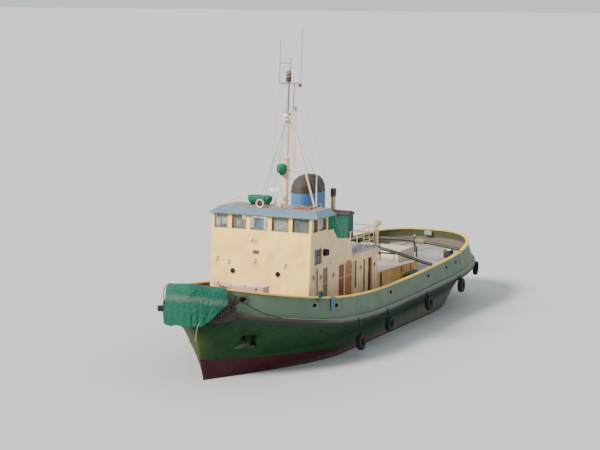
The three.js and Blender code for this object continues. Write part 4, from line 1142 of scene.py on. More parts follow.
class TUG_OT_house(bpy.types.Operator):
    """Paints the house and adds its portholes, pipes, lamps, brackets and weld seams"""
    bl_idname = "tug.house"
    bl_label = "House"

    def execute(self, context):
        for node in ("house_port", "house_starboard"):
            dress(node, "side_wall_paint", 0.008)
        dress("house_front", "front_wall_paint", 0.02)
        for node in ("house_aft", "wheelhouse_aft"):
            dress(node, "side_wall_paint", 0.008)
        dress("boat_deck", "deck_paint", 0.012)
        self.portholes(context.scene.tug_sizes.porthole)
        self.front_fittings()
        self.pipes()
        self.trim()
        self.lamps()
        return {"FINISHED"}

    def portholes(self, radius):
        rims, glass = bmesh.new(), bmesh.new()
        places = [((front_x(z), y, z), (1, 0, FRONT_RAKE), radius) for y, z in FRONT_PORTHOLES]
        places += [((x, side * WALL, z), (0, side, 0), radius * 0.86)
                   for side in SIDES.values() for x, z in SIDE_PORTHOLES]
        for place, facing, size in places:
            lathe(rims, [(size + 0.035, -0.01), (size + 0.035, 0.022), (size + 0.02, 0.034),
                         (size + 0.004, 0.030), (size, 0.012), (size, -0.01)], place, facing, 32)
            lathe(glass, [(0, 0.014), (size * 0.6, 0.012), (size + 0.003, 0.004),
                          (size + 0.003, -0.006), (0, -0.006)], place, facing, 32)
        piece("porthole_rims", rims, "side_wall_paint")
        # Painted shade: the porthole glass is an opaque near-black disc for the unlit cabin behind it
        piece("porthole_glass", glass, "black_glass")

    def front_fittings(self):
        """Louvre, hooks, a framed notice board without text, and weld beads."""
        build("louvre", "pipe_paint", "black_steel",
              (block, (0, -0.36, 4.84), (0.03, -0.06, 5.0), 0.008),
              *[(block, (0.025, -0.34, 4.855 + i * 0.035), (0.045, -0.08, 4.875 + i * 0.035), 0.004)
                for i in range(4)], front=True)
        build("front_hooks", "rusty_steel", "black_steel",
              *[part for y, z in ((-2.23, 4.49), (-1.61, 4.37), (-0.25, 4.50), (1.30, 4.38)) for part in (
                  (run, [(0, y + 0.05, z + 0.08), (0.045, y + 0.05, z + 0.08), (0.045, y + 0.05, z - 0.04),
                         (0.045, y, z - 0.08), (0.045, y - 0.05, z - 0.06)], 0.013, 8),
                  (block, (-0.005, y + 0.02, z + 0.05), (0.012, y + 0.08, z + 0.11), 0.003))],
              front=True)
        build("front_trim", "front_wall_paint", "house_paint",
              (frame_bars, (1.88, 4.31), (2.24, 4.82), (-0.004, 0.022), 0.022, "x"),
              (block, (-0.004, 1.88, 4.31), (0.008, 2.24, 4.82), 0.003),
              *[(block, (-0.004, -2.55, z), (0.006, 2.55, z + 0.018), 0.002) for z in (3.42, 5.12, 5.80)],
              *[(block, (-0.004, y, 2.5), (0.005, y + 0.016, 5.80), 0.002) for y in (-1.15, 0.42, 1.62)],
              front=True)

    def pipes(self):
        out = WALL + 0.05
        paired("wall_pipes", "pipe_paint", "house_paint",
               (run, [(6.82, out, 3.0), (6.82, out, 4.2), (6.82, WALL, 4.24)], 0.024),
               (run, [(1.38, out, 2.0), (1.38, out, 3.92), (1.38, WALL, 3.95)], 0.028),
               (on_wall, (2.30, 2.70), (2.42, 4.03), 0.03, 0.008),
               (rod, (-0.60, 2.575, 3.89), (-0.60, 2.575, 5.10), 0.03, 12),
               (rod, (-0.85, 2.56, deck_z(-0.85) + 0.04), (-0.85, 2.56, 2.99), 0.05, 12),
               *[(block, (-0.62, 2.50, z), (-0.44, 2.59, z + 0.03), 0.004) for z in (3.95, 4.3)])
        paired("wall_pipes_pale", "mast_paint", "house_paint",
               (run, [(2.69, out, 2.0), (2.69, out, 3.95), (2.69, WALL, 3.99)], 0.026),
               (hoop, (2.66, WALL + 0.012, 4.25), (0, 1, 0), 0.10, 0.014, 24, 8),
               *[(on_wall, (x - 0.05, z), (x + 0.05, z + 0.025), 0.08, 0.004, 0.002)
                 for z in (2.4, 3.2) for x in (2.69, 1.38)])

    def trim(self):
        """Weld beads, door sills, a drip bar over the doors, a grab rail and sidelight boxes."""
        parts = [(on_wall, (-0.38, z), (7.50, z + 0.016), 0.006, 0.002) for z in (3.42, 4.33)]
        for _, aft, fore, foot, head, _, arched in DOORS:
            parts.append((on_wall, (aft - 0.06, foot - 0.09), (fore + 0.06, foot - 0.03), 0.03, 0.006))
            if not arched:
                parts.append((on_wall, (aft - 0.06, head + 0.04), (fore + 0.06, head + 0.065), 0.05, 0.006))
            top = head - 0.2 if arched else head + 0.04
            parts += [(on_wall, (edge, foot - 0.03), (edge + 0.025, top), 0.018, 0.005)
                      for edge in (aft - 0.055, fore + 0.03)]
        paired("wall_trim", "side_wall_paint", "house_paint", *parts,
               (frame_bars, (0.33, 2.01), (0.82, 3.95), (WALL - 0.004, WALL + 0.02), 0.03, "y"),
               (grip, (5.35, WALL, 3.05), (4.52, WALL, 3.05), (0, 0.07, 0), 0.014),
               *[(on_wall, (x, 4.42), (x + 0.014, top), 0.006, 0.002)
                 for x, top in ((5.0, 5.15), (4.2, 5.10), (3.4, 5.05))])
        paired("sidelight_box", "black_steel", "black_steel",
               (on_wall, (5.86, 4.78), (6.12, 5.06), 0.03, 0.01, 0.006),
               (block, (5.84, WALL + 0.02, 4.76), (5.87, WALL + 0.20, 5.04), 0.006),
               (block, (5.84, WALL + 0.02, 4.76), (6.12, WALL + 0.18, 4.79), 0.006),
               (lathe, [(0, 0), (0.06, 0), (0.06, 0.02), (0.05, 0.04), (0.05, 0.15), (0.065, 0.17),
                        (0.035, 0.20), (0, 0.21)], (5.97, WALL + 0.10, 4.79), UP, 20))

    def lamps(self):
        """Bulkhead lamps: a pale cast body with a round glass."""
        places = [((front_x(5.47), -0.47, 5.47), (1, 0, 0.4)),
                  *[((5.25, side * WALL, 4.37), (0, side, 0)) for side in SIDES.values()],
                  *[((-0.40, side * 2.52, 4.20), (-1, side * 0.6, 0)) for side in SIDES.values()]]
        build("lamp_bodies", "white_paint", "white_paint",
              *[(lathe, [(0, -0.02), (0.10, -0.02), (0.105, 0.02), (0.09, 0.05), (0.085, 0.052),
                         (0.085, 0.045), (0, 0.045)], *place) for place in places])
        build("lamp_glass", "white_lens", "white_plastic",
              *[(lathe, [(0, 0.045), (0.078, 0.045), (0.078, 0.09), (0.055, 0.125), (0, 0.14)], *place)
                for place in places])


class TUG_OT_windows(bpy.types.Operator):
    """Glazes the wheelhouse and frames its windows in wood"""
    bl_idname = "tug.windows"
    bl_label = "Windows"

    def execute(self, context):
        paint_node("wheelhouse_glass", "window_glass")
        build("front_window_frames", "window_wood", "house_paint",
              *[(frame_bars, (y0 + REVEAL, PANE_LOW + REVEAL), (y1 - REVEAL, PANE_HIGH - REVEAL),
                 (-0.05, 0.010), 0.020, "x") for y0, y1 in PANES], front=True)
        paired("side_window_frames", "window_wood", "house_paint",
               *[(frame_bars, (x0 + REVEAL, SIDE_LOW + REVEAL), (x1 - REVEAL, SIDE_HIGH - REVEAL),
                  (WALL - 0.05, WALL + 0.01), 0.02, "y") for x0, x1 in SIDE_PANES])
        x0, x1, z0, z1 = LOWER_WINDOW
        paired("lower_window_frame", "side_wall_paint", "house_paint",
               (frame_bars, (x0, z0), (x1, z1), (WALL - 0.004, WALL + 0.025), 0.04, "y"))
        middle = (x0 + x1) / 2
        low, high = z0 + 0.002, z1 - 0.002
        # Painted shade: the lower window's pane is opaque and dark for the unlit cabin behind it
        paired("lower_window_pane", "dark_glass", "window_glass",
               (block, (x0 + 0.002, WALL - 0.05, low), (x1 - 0.002, WALL - 0.03, high), 0.004),
               (block, (middle - 0.012, WALL - 0.034, low), (middle + 0.012, WALL - 0.012, high), 0.004))
        for name, finish, y0, y1, z0, z1 in BEHIND_PANES:
            build(name, finish, "white_paint", (block, (-0.22, y0, z0), (-0.19, y1, z1), 0.008),
                  front=True)
        self.wipers()
        self.inside()
        paint_node("helm", "grey_paint")
        return {"FINISHED"}

    def wipers(self):
        parts = []
        for y, reach in ((-1.15, 0.15), (-0.11, 0.17), (2.0, 0.15)):
            tip = y - reach
            parts += [(rod, (-0.01, y, PANE_HIGH + 0.01), (0.05, y, PANE_HIGH + 0.01), 0.03, 12),
                      (run, [(0.045, y, PANE_HIGH + 0.01), (0.04, tip, PANE_HIGH - 0.38)], 0.01, 8),
                      (run, [(0.03, tip - 0.05, PANE_HIGH - 0.14), (0.03, tip + 0.03, PANE_HIGH - 0.56)],
                       0.012, 8)]
        build("wipers", "black_steel", "black_steel", *parts, front=True)

    def inside(self):
        """Chair, chart table, radar hood and the helm's spokes, seen through the panes."""
        build("helm_chair", "red_lead_paint", "red_brown_paint",
              (block, (5.95, -0.25, 5.10), (6.35, 0.25, 5.22), 0.04),
              (block, (5.90, -0.25, 5.22), (5.98, 0.25, 6.05), 0.04),
              (rod, (6.15, 0, 4.43), (6.15, 0, 5.12), 0.05, 12),
              (rod, (6.15, 0, 4.425), (6.15, 0, 4.46), 0.22, 20))
        build("wheelhouse_desk", "grey_paint", "grey_paint",
              (block, (6.52, -0.75, 5.55), (6.95, -0.30, 5.95), 0.04),
              (block, (6.52, 0.55, 5.55), (6.90, 0.95, 5.80), 0.03),
              (block, (5.70, -2.40, 5.30), (6.40, -1.20, 5.36), 0.01),
              (block, (5.70, -2.40, 4.43), (6.36, -1.24, 5.30), 0.01))
        build("wheel_spokes", "window_wood", "black_steel",
              *[(rod, (6.42, 0.1, 5.4), (6.42, 0.1 + 0.43 * math.cos(a), 5.4 + 0.43 * math.sin(a)),
                 0.014, 8) for a in [math.pi * i / 4 for i in range(8)]])


class TUG_OT_doors(bpy.types.Operator):
    """Paints the doors and adds their panels, hinges and handles"""
    bl_idname = "tug.doors"
    bl_label = "Doors"

    def execute(self, context):
        for name, side in SIDES.items():
            for door, *shape in DOORS:
                node = f"door_{door}_{name}"
                if node in frame["nodes"]:
                    self.furniture(node, side, *shape)
        dress("wheelhouse_door", "side_wall_paint", 0.008)
        build("wheelhouse_door_handle", "galvanised_wire", "black_steel",
              (rod, (5.60, 1.08, 5.35), (5.55, 1.08, 5.35), 0.02, 12),
              (rod, (5.555, 1.08, 5.35), (5.555, 1.20, 5.35), 0.012, 8),
              (lathe, [(0.15, 0), (0.15, 0.018), (0.13, 0.022), (0.12, 0.012), (0.12, 0)],
               (5.60, 1.34, 5.95), (-1, 0, 0), 28), body="wheelhouse_door")
        return {"FINISHED"}

    def furniture(self, node, side, aft, fore, foot, head, finish, arched):
        """Dresses a door and adds raised panels in its paint, a steel handle and hinges."""
        dress(node, finish, 0.008)
        middle = (foot + head) / 2
        top = head - (0.32 if arched else 0.10)
        panels = shaped((frame_bars, (aft + 0.09, low), (fore - 0.09, high),
                         (WALL - 0.004, WALL + 0.010), 0.016, "y")
                        for low, high in ((foot + 0.10, middle - 0.06), (middle + 0.06, top)))
        hinged, opening, inward = (aft, fore, 1) if arched else (fore, aft, -1)
        handle = opening - inward * 0.06
        low, high = sorted((hinged, hinged + inward * 0.12))
        steel = shaped([
            (rod, (handle, WALL - 0.01, middle), (handle, WALL + 0.045, middle), 0.014, 10),
            (rod, (handle, WALL + 0.04, middle), (handle - inward * 0.11, WALL + 0.04, middle - 0.02),
             0.011, 8),
            *[(on_wall, (low, z), (high, z + 0.05), 0.012, 0.003)
              for z in (foot + 0.25, middle + 0.1, head - 0.35)]])
        mirror(panels, side)
        mirror(steel, side)
        piece(f"{node}_panels", panels, finish, NODE_BODY[node])
        piece(f"{node}_steel", steel, "pipe_paint", NODE_BODY[node])


# Roof
class TUG_OT_roof(bpy.types.Operator):
    """Paints the roof and makes its hatch, horn, radar, raft in its canvas bag and aerials"""
    bl_idname = "tug.roof"
    bl_label = "Roof"

    def execute(self, context):
        dress_with_top("wheelhouse_roof", "roof_paint", "roof_top_paint", 0.97, 0.012)
        dress("roof_hatch", "red_lead_paint", 0.015)
        paint_node("horn", "horn_paint")
        paint_node("scanner_post", "white_paint")
        dress("scanner", "radar_plastic", 0.04)
        self.raft()
        self.fittings()
        return {"FINISHED"}

    def raft(self):
        """A life raft in its laced canvas bag: a crowned roll with pinched, dark ends."""
        bm = bmesh.new()
        bmesh.ops.create_uvsphere(bm, u_segments=72, v_segments=48, radius=1)
        bmesh.ops.rotate(bm, matrix=Matrix.Rotation(math.pi / 2, 3, "X"), verts=bm.verts)
        centre = Vector((6.05, -0.74, 7.19))
        for vert in bm.verts:
            c = vert.co.copy()
            along = c.y
            swell = 1 + 0.05 * math.cos(along * 15) + 0.05 * noise.noise(c * 3.2)
            round_off = max(1 - abs(along) ** 5, 0.02) ** 0.5
            ring = math.hypot(c.x, c.z)
            cross = round_off * swell / ring if ring > 1e-3 else 0
            wrinkle = noise.noise(Vector((c.x * 6, along * 14, c.z * 6))) * 0.012
            z = min(c.z * cross * 0.25, 0.17 + 0.03 * noise.noise(c * 5))
            length = 0.60 + 0.22 * clamp(z, -0.2, 0.17)
            vert.co = centre + Vector((c.x * cross * 0.275 + wrinkle, along * length,
                                       max(z, -0.236) + wrinkle * 0.6))
            vert.co.z = max(vert.co.z, ROOF_TOP + 0.012)
        bmesh.ops.recalc_face_normals(bm, faces=bm.faces)
        bag = piece("raft_bag", bm, "raft_canvas", smooth=80,
                    replaces=["covered_raft"])
        straps = bmesh.new()
        for y in (-0.36, 0.0, 0.36):
            made = hoop(straps, (0, 0, 0), UP, 0.262, 0.008, 36, 6)
            bmesh.ops.scale(straps, vec=(1, 0.8, 1.6), verts=made)
            bmesh.ops.transform(straps, matrix=turned((0, 1, 0), centre + Vector((0, y, 0.004))),
                                verts=made)
        piece("raft_straps", straps, "dark_rope")
        build("raft_chocks", "window_wood", "house_paint",
              *[(block, (5.82, y, 6.934), (6.28, y + 0.04, 6.99), 0.008) for y in (-1.16, -0.38)])

    def fittings(self):
        """The hatch's knuckles and grip, gutters, rails, aerials, the horn's bell and a dark lining in the
        bell's throat as painted shade.
        """
        build("hatch_fittings", "galvanised_wire", "black_steel",
              *[part for y in (1.42, 1.98) for part in (
                  (rod, (6.012, y - 0.05, 6.975), (6.012, y + 0.05, 6.975), 0.016, 12),
                  (block, (6.01, y - 0.04, 7.0), (6.16, y + 0.04, 7.012), 0.003))],
              (grip, (6.60, 1.60, 7.003), (6.60, 1.80, 7.003), (0, 0, 0.042), 0.01),
              body="roof_hatch")
        build("roof_gutter", "roof_paint", "roof_paint",
              (rod, (7.545, -2.60, 6.655), (7.545, 2.96, 6.655), 0.014, 8),
              *[(rod, (5.60, y, 6.655), (7.545, y, 6.655), 0.014, 8) for y in (2.965, -2.605)])
        build("roof_rails", "mast_paint", "house_paint",
              (grip, (6.9, -1.9, 6.95), (5.75, -1.9, 6.95), (0, 0, 0.21), 0.014),
              (grip, (6.6, 2.3, 6.95), (5.8, 2.3, 6.95), (0, 0, 0.19), 0.014),
              (rod, (7.12, 0.9, 6.94), (7.12, 0.9, 7.16), 0.02, 10),
              (lathe, [(0, 0), (0.10, 0.01), (0.12, 0.10), (0.10, 0.22), (0, 0.26)],
               (7.12, 0.9, 7.13), (1, 0, 0.1)))
        build("whip_aerials", "white_paint", "white_paint",
              (rod, (5.65, 1.98, 6.94), (5.65, 1.98, 8.1), 0.03, 10, 0.024),
              (rod, (5.65, 1.98, 8.1), (5.65, 2.04, 9.62), 0.02, 8, 0.012),
              (rod, (5.75, -2.0, 6.94), (5.75, -2.0, 8.3), 0.012, 8, 0.006))
        mouth = (7.115, -0.17, 7.14)
        build("horn_bell", "horn_paint", "house_paint",
              (lathe, [(0, 0), (0.19, 0.09), (0.21, 0.10), (0.20, 0.115), (0.17, 0.10), (0.05, 0.02),
                       (0, 0.02)], mouth, FORWARD, 36),
              (block, (6.80, -0.24, 6.935), (7.0, -0.10, 7.0), 0.01))
        # Painted shade: a dark lining in the horn's bell stands for the shade in its throat
        build("horn_throat", "black_steel", "black_steel",
              (lathe, [(0, 0.03), (0.06, 0.035), (0.145, 0.088), (0.145, 0.094), (0, 0.094)],
               mouth, FORWARD, 28))


# Mast
MAST_RAKE = 0.059
HOUNDS = 10.82
# Stays: the foot's place on the port side, and how far off the middle they leave the mast
STAYS = [((2.4, 2.36, 4.45), 0.1), ((3.9, 2.40, 4.43), 0.1), ((7.10, 0.35, 6.94), 0.03)]


def mast_x(z):
    return 5.05 - MAST_RAKE * (z - BOAT_DECK)


class TUG_OT_mast(bpy.types.Operator):
    """Paints the mast and adds its lamps, brackets, stays and halyards"""
    bl_idname = "tug.mast"
    bl_label = "Mast and rigging"

    def execute(self, context):
        paint_node("mast", "mast_paint")
        self.lamps()
        build("mast_rungs", "mast_paint", "house_paint",
              *[(grip, (mast_x(z) - 0.12, -0.16, z), (mast_x(z) - 0.12, 0.16, z), (-0.16, 0, 0))
                for z in [4.85 + i * 0.36 for i in range(11)]],
              *[(lathe, band(0.141, 0.011, 0.06), (mast_x(z), 0, z), (-MAST_RAKE, 0, 1))
                for z in (5.6, 6.9, 8.2)],
              (lathe, [(0, 0), (0.05, 0), (0.05, 0.12), (0.02, 0.16), (0, 0.16)],
               (mast_x(11.35), 0.40, 11.33), UP, 14))
        self.stays(context.scene.tug_sizes.wire)
        self.lamp_cover()
        return {"FINISHED"}

    def lamps(self):
        lantern = mast_x(11.0) + 0.19
        cap = [(0.112, 0), (0.128, 0), (0.128, 0.02), (0.112, 0.02)]
        lens = [(0.116, 0), (0.122, 0.02), (0.122, 0.09), (0.116, 0.11)]
        build("mast_lamp_cases", "black_steel", "black_steel",
              *[(lathe, cap, (lantern, 0, z), UP, 28) for z in (10.97, 11.18)],
              *[(lathe, lens, (mast_x(z), -0.02, z), UP, 28) for z in (12.62, 12.74)],
              (lathe, [(0, 0), (0.07, 0), (0.09, 0.06), (0.09, 0.08), (0, 0.10)],
               (mast_x(12.6), 0.58, 12.50), (0.3, 0, -1)))
        build("mast_lamp_white", "white_lens", "white_plastic",
              (lathe, [(0.113, 0), (0.118, 0.02), (0.118, 0.16), (0.113, 0.18)],
               (lantern, 0, 10.99), UP, 28))
        build("mast_lamp_red", "red_lens", "red_brown_paint",
              (lathe, lens, (mast_x(12.92), -0.02, 12.92), UP, 28))

    def stays(self, radius):
        """Galvanised stays from the hounds to the rails, the roof and the funnel's sides."""
        bm = bmesh.new()
        for foot, off in STAYS:
            for side in SIDES.values():
                end = (foot[0], side * foot[1], foot[2])
                start = Vector((mast_x(HOUNDS), side * off, HOUNDS))
                rod(bm, start, end, radius, 6)
                rod(bm, end, Vector(end).lerp(start, 0.05), radius * 2.4, 8)
        for y, end in ((-0.46, (3.1, -1.9, 5.40)), (0.56, (2.7, 1.9, 5.40))):
            rod(bm, (mast_x(12.5), y, 12.52), end, radius * 0.6, 5)
        piece("stays", bm, "galvanised_wire")

    def lamp_cover(self):
        """A canvas bag gathered round the searchlight's stem with a drawcord."""
        bm = bmesh.new()
        lathe(bm, [(0.06, -0.30), (0.085, -0.245), (0.17, -0.20), (0.225, -0.10), (0.24, 0.02),
                   (0.225, 0.13), (0.17, 0.205), (0.09, 0.240), (0, 0.246)], (0, 0, 0), UP, 72)
        bmesh.ops.subdivide_edges(bm, edges=bm.edges, cuts=1, use_grid_fill=True)
        centre = Vector((5.205, -0.03, 8.58))
        for vert in bm.verts:
            angle = math.atan2(vert.co.y, vert.co.x)
            pleat = math.sin(angle * 9) * 0.014 * min(max(0.1 - vert.co.z, 0) * 5, 1)
            rough = noise.noise(vert.co * 9) * 0.016
            ring = Vector((vert.co.x, vert.co.y, 0))
            if ring.length > 1e-4:
                vert.co += ring.normalized() * (pleat + rough)
            vert.co += centre
        bag, area = cloth("lamp_bag", bm, "raft_canvas", 0.003, -1, ["covered_lamp"])
        tie = build("lamp_bag_tie", "dark_rope", "green_canvas",
                    (hoop, centre + Vector((0, 0, -0.245)), UP, 0.088, 0.01, 24, 8))
        build("searchlight_stem", "mast_paint", "house_paint",
              (run, [(mast_x(8.3), 0, 8.24), (5.205, -0.03, 8.24), (5.205, -0.03, 8.42)], 0.035))


# Funnel, locker and the boat deck's fittings
def funnel_ring(bm, z, grow, thickness):
    """A bar round the funnel's oval."""
    for vert in hoop(bm, (0, 0, 0), UP, 1, thickness, 72, 8):
        out = Vector((vert.co.x, vert.co.y)).length - 1
        angle = math.atan2(vert.co.y, vert.co.x)
        vert.co = Vector((2.34 + (1.2 + grow + out) * math.cos(angle),
                          (0.72 + grow + out) * math.sin(angle), z + vert.co.z))


class TUG_OT_boat_deck(bpy.types.Operator):
    """Paints the funnel, locker, rails, cowls and raft canister and adds their bands and steps"""
    bl_idname = "tug.boat_deck"
    bl_label = "Funnel and boat deck"

    def execute(self, context):
        paint_node("funnel", "funnel_paint")
        paint_node("funnel_top", "soot_paint")
        dress("exhaust_pipe", "exhaust_paint", 0.004)
        dress("deck_locker", "locker_paint", 0.01)
        dress("locker_top", "soot_paint", 0.01)
        for node in ("cowl_vent_port", "cowl_vent_starboard", "boat_rail"):
            paint_node(node, "mast_paint")
        paint_node("liferaft", "white_paint")
        self.funnel()
        self.locker()
        self.rafts_and_cowls()
        return {"FINISHED"}

    def funnel(self):
        build("funnel_bands", "funnel_paint", "funnel_paint",
              *[(funnel_ring, z, 0.002, 0.014) for z in (4.50, 5.42, 6.35)])
        build("funnel_lip", "soot_paint", "funnel_cap_paint", (funnel_ring, 7.27, 0.006, 0.022))
        build("funnel_steps", "black_steel", "black_steel",
              *[(grip, (1.16, -0.18, z), (1.16, 0.18, z), (-0.13, 0, 0))
                for z in [4.75 + i * 0.32 for i in range(8)]],
              *[(rod, (2.2 + y, y, 7.98), (2.2 + y, y, 8.04), 0.12, 20) for y in (-0.3, 0.3)])
        build("exhaust_bands", "soot_paint", "funnel_cap_paint",
              *[(lathe, band(0.116, 0.012, 0.05), (1.1, 0.78, z), UP) for z in (5.5, 6.9)],
              (lathe, [(0.06, 0.02), (0.10, 0.02), (0.139, 0.0), (0.145, 0.0), (0.145, 0.012),
                       (0.06, 0.04), (0, 0.04), (0, 0.02), (0.06, 0.02)], (1.1, 0.78, 7.275), UP))

    def locker(self):
        """Vertical battens on the locker's sides, its hinges and hasp."""
        build("locker_battens", "locker_paint", "green_paint",
              *[(block, (x, y, 4.46), (x + 0.02, y + 0.03, 6.12), 0.004)
                for y in [0.92 + i * 0.212 for i in range(6)] for x in (2.086, 1.424)],
              *[(block, (x, y, 4.46), (x + 0.03, y + 0.02, 6.12), 0.004)
                for x in [1.46 + i * 0.2 for i in range(4)] for y in (0.884, 1.996)])
        build("locker_steel", "galvanised_wire", "black_steel",
              *[(block, (2.10, 1.40, z), (2.118, 1.52, z + 0.05), 0.003) for z in (4.8, 5.7)],
              (rod, (2.10, 1.46, 5.25), (2.14, 1.46, 5.25), 0.02, 10))

    def rafts_and_cowls(self):
        build("canister_bands", "galvanised_wire", "black_steel",
              *[(lathe, [(0.161, -0.012), (0.168, -0.012), (0.168, 0.012), (0.161, 0.012)],
                 (x, 2.19, 4.7), FORWARD, 32) for x in (1.95, 2.14, 2.33)])
        build("canister_ends", "white_paint", "white_plastic",
              *[(lathe, [(0, 0.02), (0.10, 0.018), (0.15, 0.008), (0.163, 0), (0.163, -0.02), (0, -0.02)],
                 (x, 2.19, 4.7), (facing, 0, 0), 32) for x, facing in ((1.801, -1), (2.479, 1))])
        build("cowl_rims", "mast_paint", "house_paint",
              *[part for side in SIDES.values() for part in (
                  (hoop, (-0.548, side * 2.5, 5.54), FORWARD, 0.166, 0.014, 28, 8),
                  (lathe, band(0.089, 0.016, 0.04), (-0.36, side * 2.5, 5.05), UP, 20),
                  (lathe, [(0.089, 0), (0.14, 0), (0.14, 0.03), (0.089, 0.05)],
                   (-0.36, side * 2.5, 4.424), UP, 20))])
        # Painted shade: dark discs in the cowls' mouths stand for the shade inside the vents
        build("cowl_throats", "black_steel", "black_steel",
              *[(lathe, [(0, 0), (0.10, 0), (0.10, 0.004), (0, 0.004)], (-0.21, side * 2.5, 5.54),
                 FORWARD) for side in SIDES.values()])


# After deck
def over_deck(x, y, height):
    return x, y, deck_z(x) + height


class TUG_OT_after_deck(bpy.types.Operator):
    """Paints the casing, hook and tow bows and adds the deck's ropes and fittings"""
    bl_idname = "tug.after_deck"
    bl_label = "After deck"

    def execute(self, context):
        dress_with_top("engine_casing", "casing_paint", "casing_top_paint", 0.9, 0.02)
        dress("hook_housing", "housing_paint", 0.015)
        dress("casing_lid", "casing_top_paint", 0.015)
        dress("tow_hook", "rusty_steel", 0.01)
        for end in ("fore", "aft"):
            paint_node(f"tow_bow_{end}", "olive_paint")
            for name in SIDES:
                paint_node(f"bitts_{end}_{name}", "black_steel")
        self.casing()
        self.bitts()
        self.stern()
        self.ropes()
        return {"FINISHED"}

    def casing(self):
        """Oval plates and edge strips on the casing, the lid's fittings, boxes and hook bolts."""
        ovals = bmesh.new()
        for side in SIDES.values():
            for x, z in ((-4.96, 2.58), (-6.26, 2.42)):
                made = lathe(ovals, [(0, 0.012), (0.15, 0.012), (0.17, 0.006), (0.17, -0.01),
                                     (0, -0.01)], (x, side * 2.0, z), (0, side, 0), 28)
                bmesh.ops.scale(ovals, vec=(0.62, 1, 1.15), verts=made,
                                space=Matrix.Translation((-x, 0, -z)))
        bmesh.ops.recalc_face_normals(ovals, faces=ovals.faces)
        piece("casing_ovals", ovals, "oval_paint")
        edge = bmesh.new()
        for side in SIDES.values():
            y0, y1 = sorted((side * 1.94, side * 2.02))
            for i in range(7):
                x = -0.5 - i * 0.97
                low = 2.87 + 0.024 * (x + 0.4 - 0.97)
                block(edge, (x - 0.96, y0, low - 0.03), (x, y1, low + 0.012), 0.006)
        piece("casing_edge", edge, "casing_paint")
        build("lid_fittings", "galvanised_wire", "black_steel",
              *[part for y in (-0.5, 0.5) for part in (
                  (rod, (-2.285, y - 0.07, 2.88), (-2.285, y + 0.07, 2.88), 0.02, 12),
                  (block, (-2.44, y - 0.05, 2.912), (-2.29, y + 0.05, 2.926), 0.003))],
              (grip, (-3.95, -0.15, 2.88), (-3.95, 0.15, 2.88), (0, 0, 0.07)),
              body="casing_lid")
        build("stowed_boxes", "housing_paint", "ochre_paint",
              *[(block, (-7.1, y, 2.80), (-5.78, y + 0.76, 3.14), 0.03) for y in (-1.22, -0.38, 0.46)])
        build("hook_bolts", "rusty_steel", "black_steel",
              *[(rod, (-8.055, y, z), (-8.085, y, z), 0.025, 6)
                for y in (-0.17, 0.17) for z in (2.58, 2.98)],
              (rod, (-8.21, 0, 2.60), (-8.21, 0, 2.96), 0.035, 12))

    def bitts(self):
        caps = bmesh.new()
        for x, y in ((9.0, 2.7), (9.0, -2.7), (-11.0, 2.45), (-11.0, -2.45)):
            top = deck_z(x + math.copysign(0.35, x)) + 0.58
            for dx in (-0.2, 0.2):
                lathe(caps, [(0, 0.02), (0.10, 0.016), (0.128, 0.0), (0.128, -0.03), (0, -0.03)],
                      (x + dx, y, top), UP)
            rod(caps, (x - 0.1, y, top - 0.3), (x + 0.1, y, top - 0.3), 0.05, 12)
        piece("bitt_caps", caps, "white_paint")

    def stern(self):
        """Fairlead, posts and box at the stern, and a heap of net on the side deck."""
        build("stern_fittings", "rim_paint", "white_paint",
              (block, (-14.0, -0.24, 3.10), (-13.86, 0.24, 3.36), 0.05),
              (hoop, (-13.93, 0, 3.26), FORWARD, 0.10, 0.03, 24, 8),
              (run, [over_deck(-13.1, -2.02, 0.16), (-13.55, -1.25, deck_z(-13.5) + 0.16)], 0.08, 14),
              (rod, over_deck(-12.2, -0.15, 0.9), over_deck(-12.2, -0.15, 1.02), 0.07))
        build("stern_posts", "black_steel", "black_steel",
              (rod, over_deck(-12.2, -0.15, 0.03), over_deck(-12.2, -0.15, 0.9), 0.06),
              (rod, over_deck(-11.0, 0.45, 0.03), over_deck(-11.0, 0.45, 0.62), 0.05),
              (block, (-11.55, 1.95, deck_z(-11.5) + 0.04), (-11.25, 2.2, deck_z(-11.5) + 0.45), 0.03))
        heap = bmesh.new()
        bmesh.ops.create_icosphere(heap, subdivisions=5, radius=1)
        for vert in heap.verts:
            c = vert.co
            rough = 1 + 0.22 * noise.noise(c * 2.6) + 0.10 * noise.noise(c * 7.5)
            point = Vector((-5.55 + c.x * 0.78 * rough, 2.36 + c.y * 0.30 * rough, c.z * 0.34 * rough))
            point.z = deck_z(point.x) + max(point.z + 0.12, 0.04)
            vert.co = point
        bmesh.ops.recalc_face_normals(heap, faces=heap.faces)
        net = piece("net_heap", heap, "heap_canvas", smooth=80)

    def ropes(self):
        """A hank on the aft tow bow and a mooring line made up over the port rail."""
        hank = []
        for i in range(6 * 14 + 1):
            angle = 2 * math.pi * i / 14
            y = 1.22 + 0.085 * i / 14
            hank.append(Vector((-8.95 + 0.118 * math.sin(angle), y,
                                3.48 - 0.06 * (y - 1.2) + 0.118 * math.cos(angle))))
        rope("tow_bow_hank", hank, 0.026, "laid_rope", far_end="object",
             smooth=False)
        over = hull_line(1, (-8.55, -0.55, 0.06), (-8.55, -0.32, 0.10), (-8.56, -0.19, 0.40),
                         (-8.58, -0.17, 0.82), (-8.60, -0.12, 1.02), (-8.62, -0.02, 1.055),
                         (-8.65, 0.08, 1.03), (-8.68, 0.10, 0.86), (-8.70, 0.08, 0.60),
                         (-8.70, 0.07, 0.34))
        rope("rail_line", over, 0.022, "laid_rope", far_end="knot")


# Fore deck
SKIFF_TOP = 3.95
WINDLASS = Vector((12.05, 0, 3.33))
CLOTH_WIDTH = 0.30


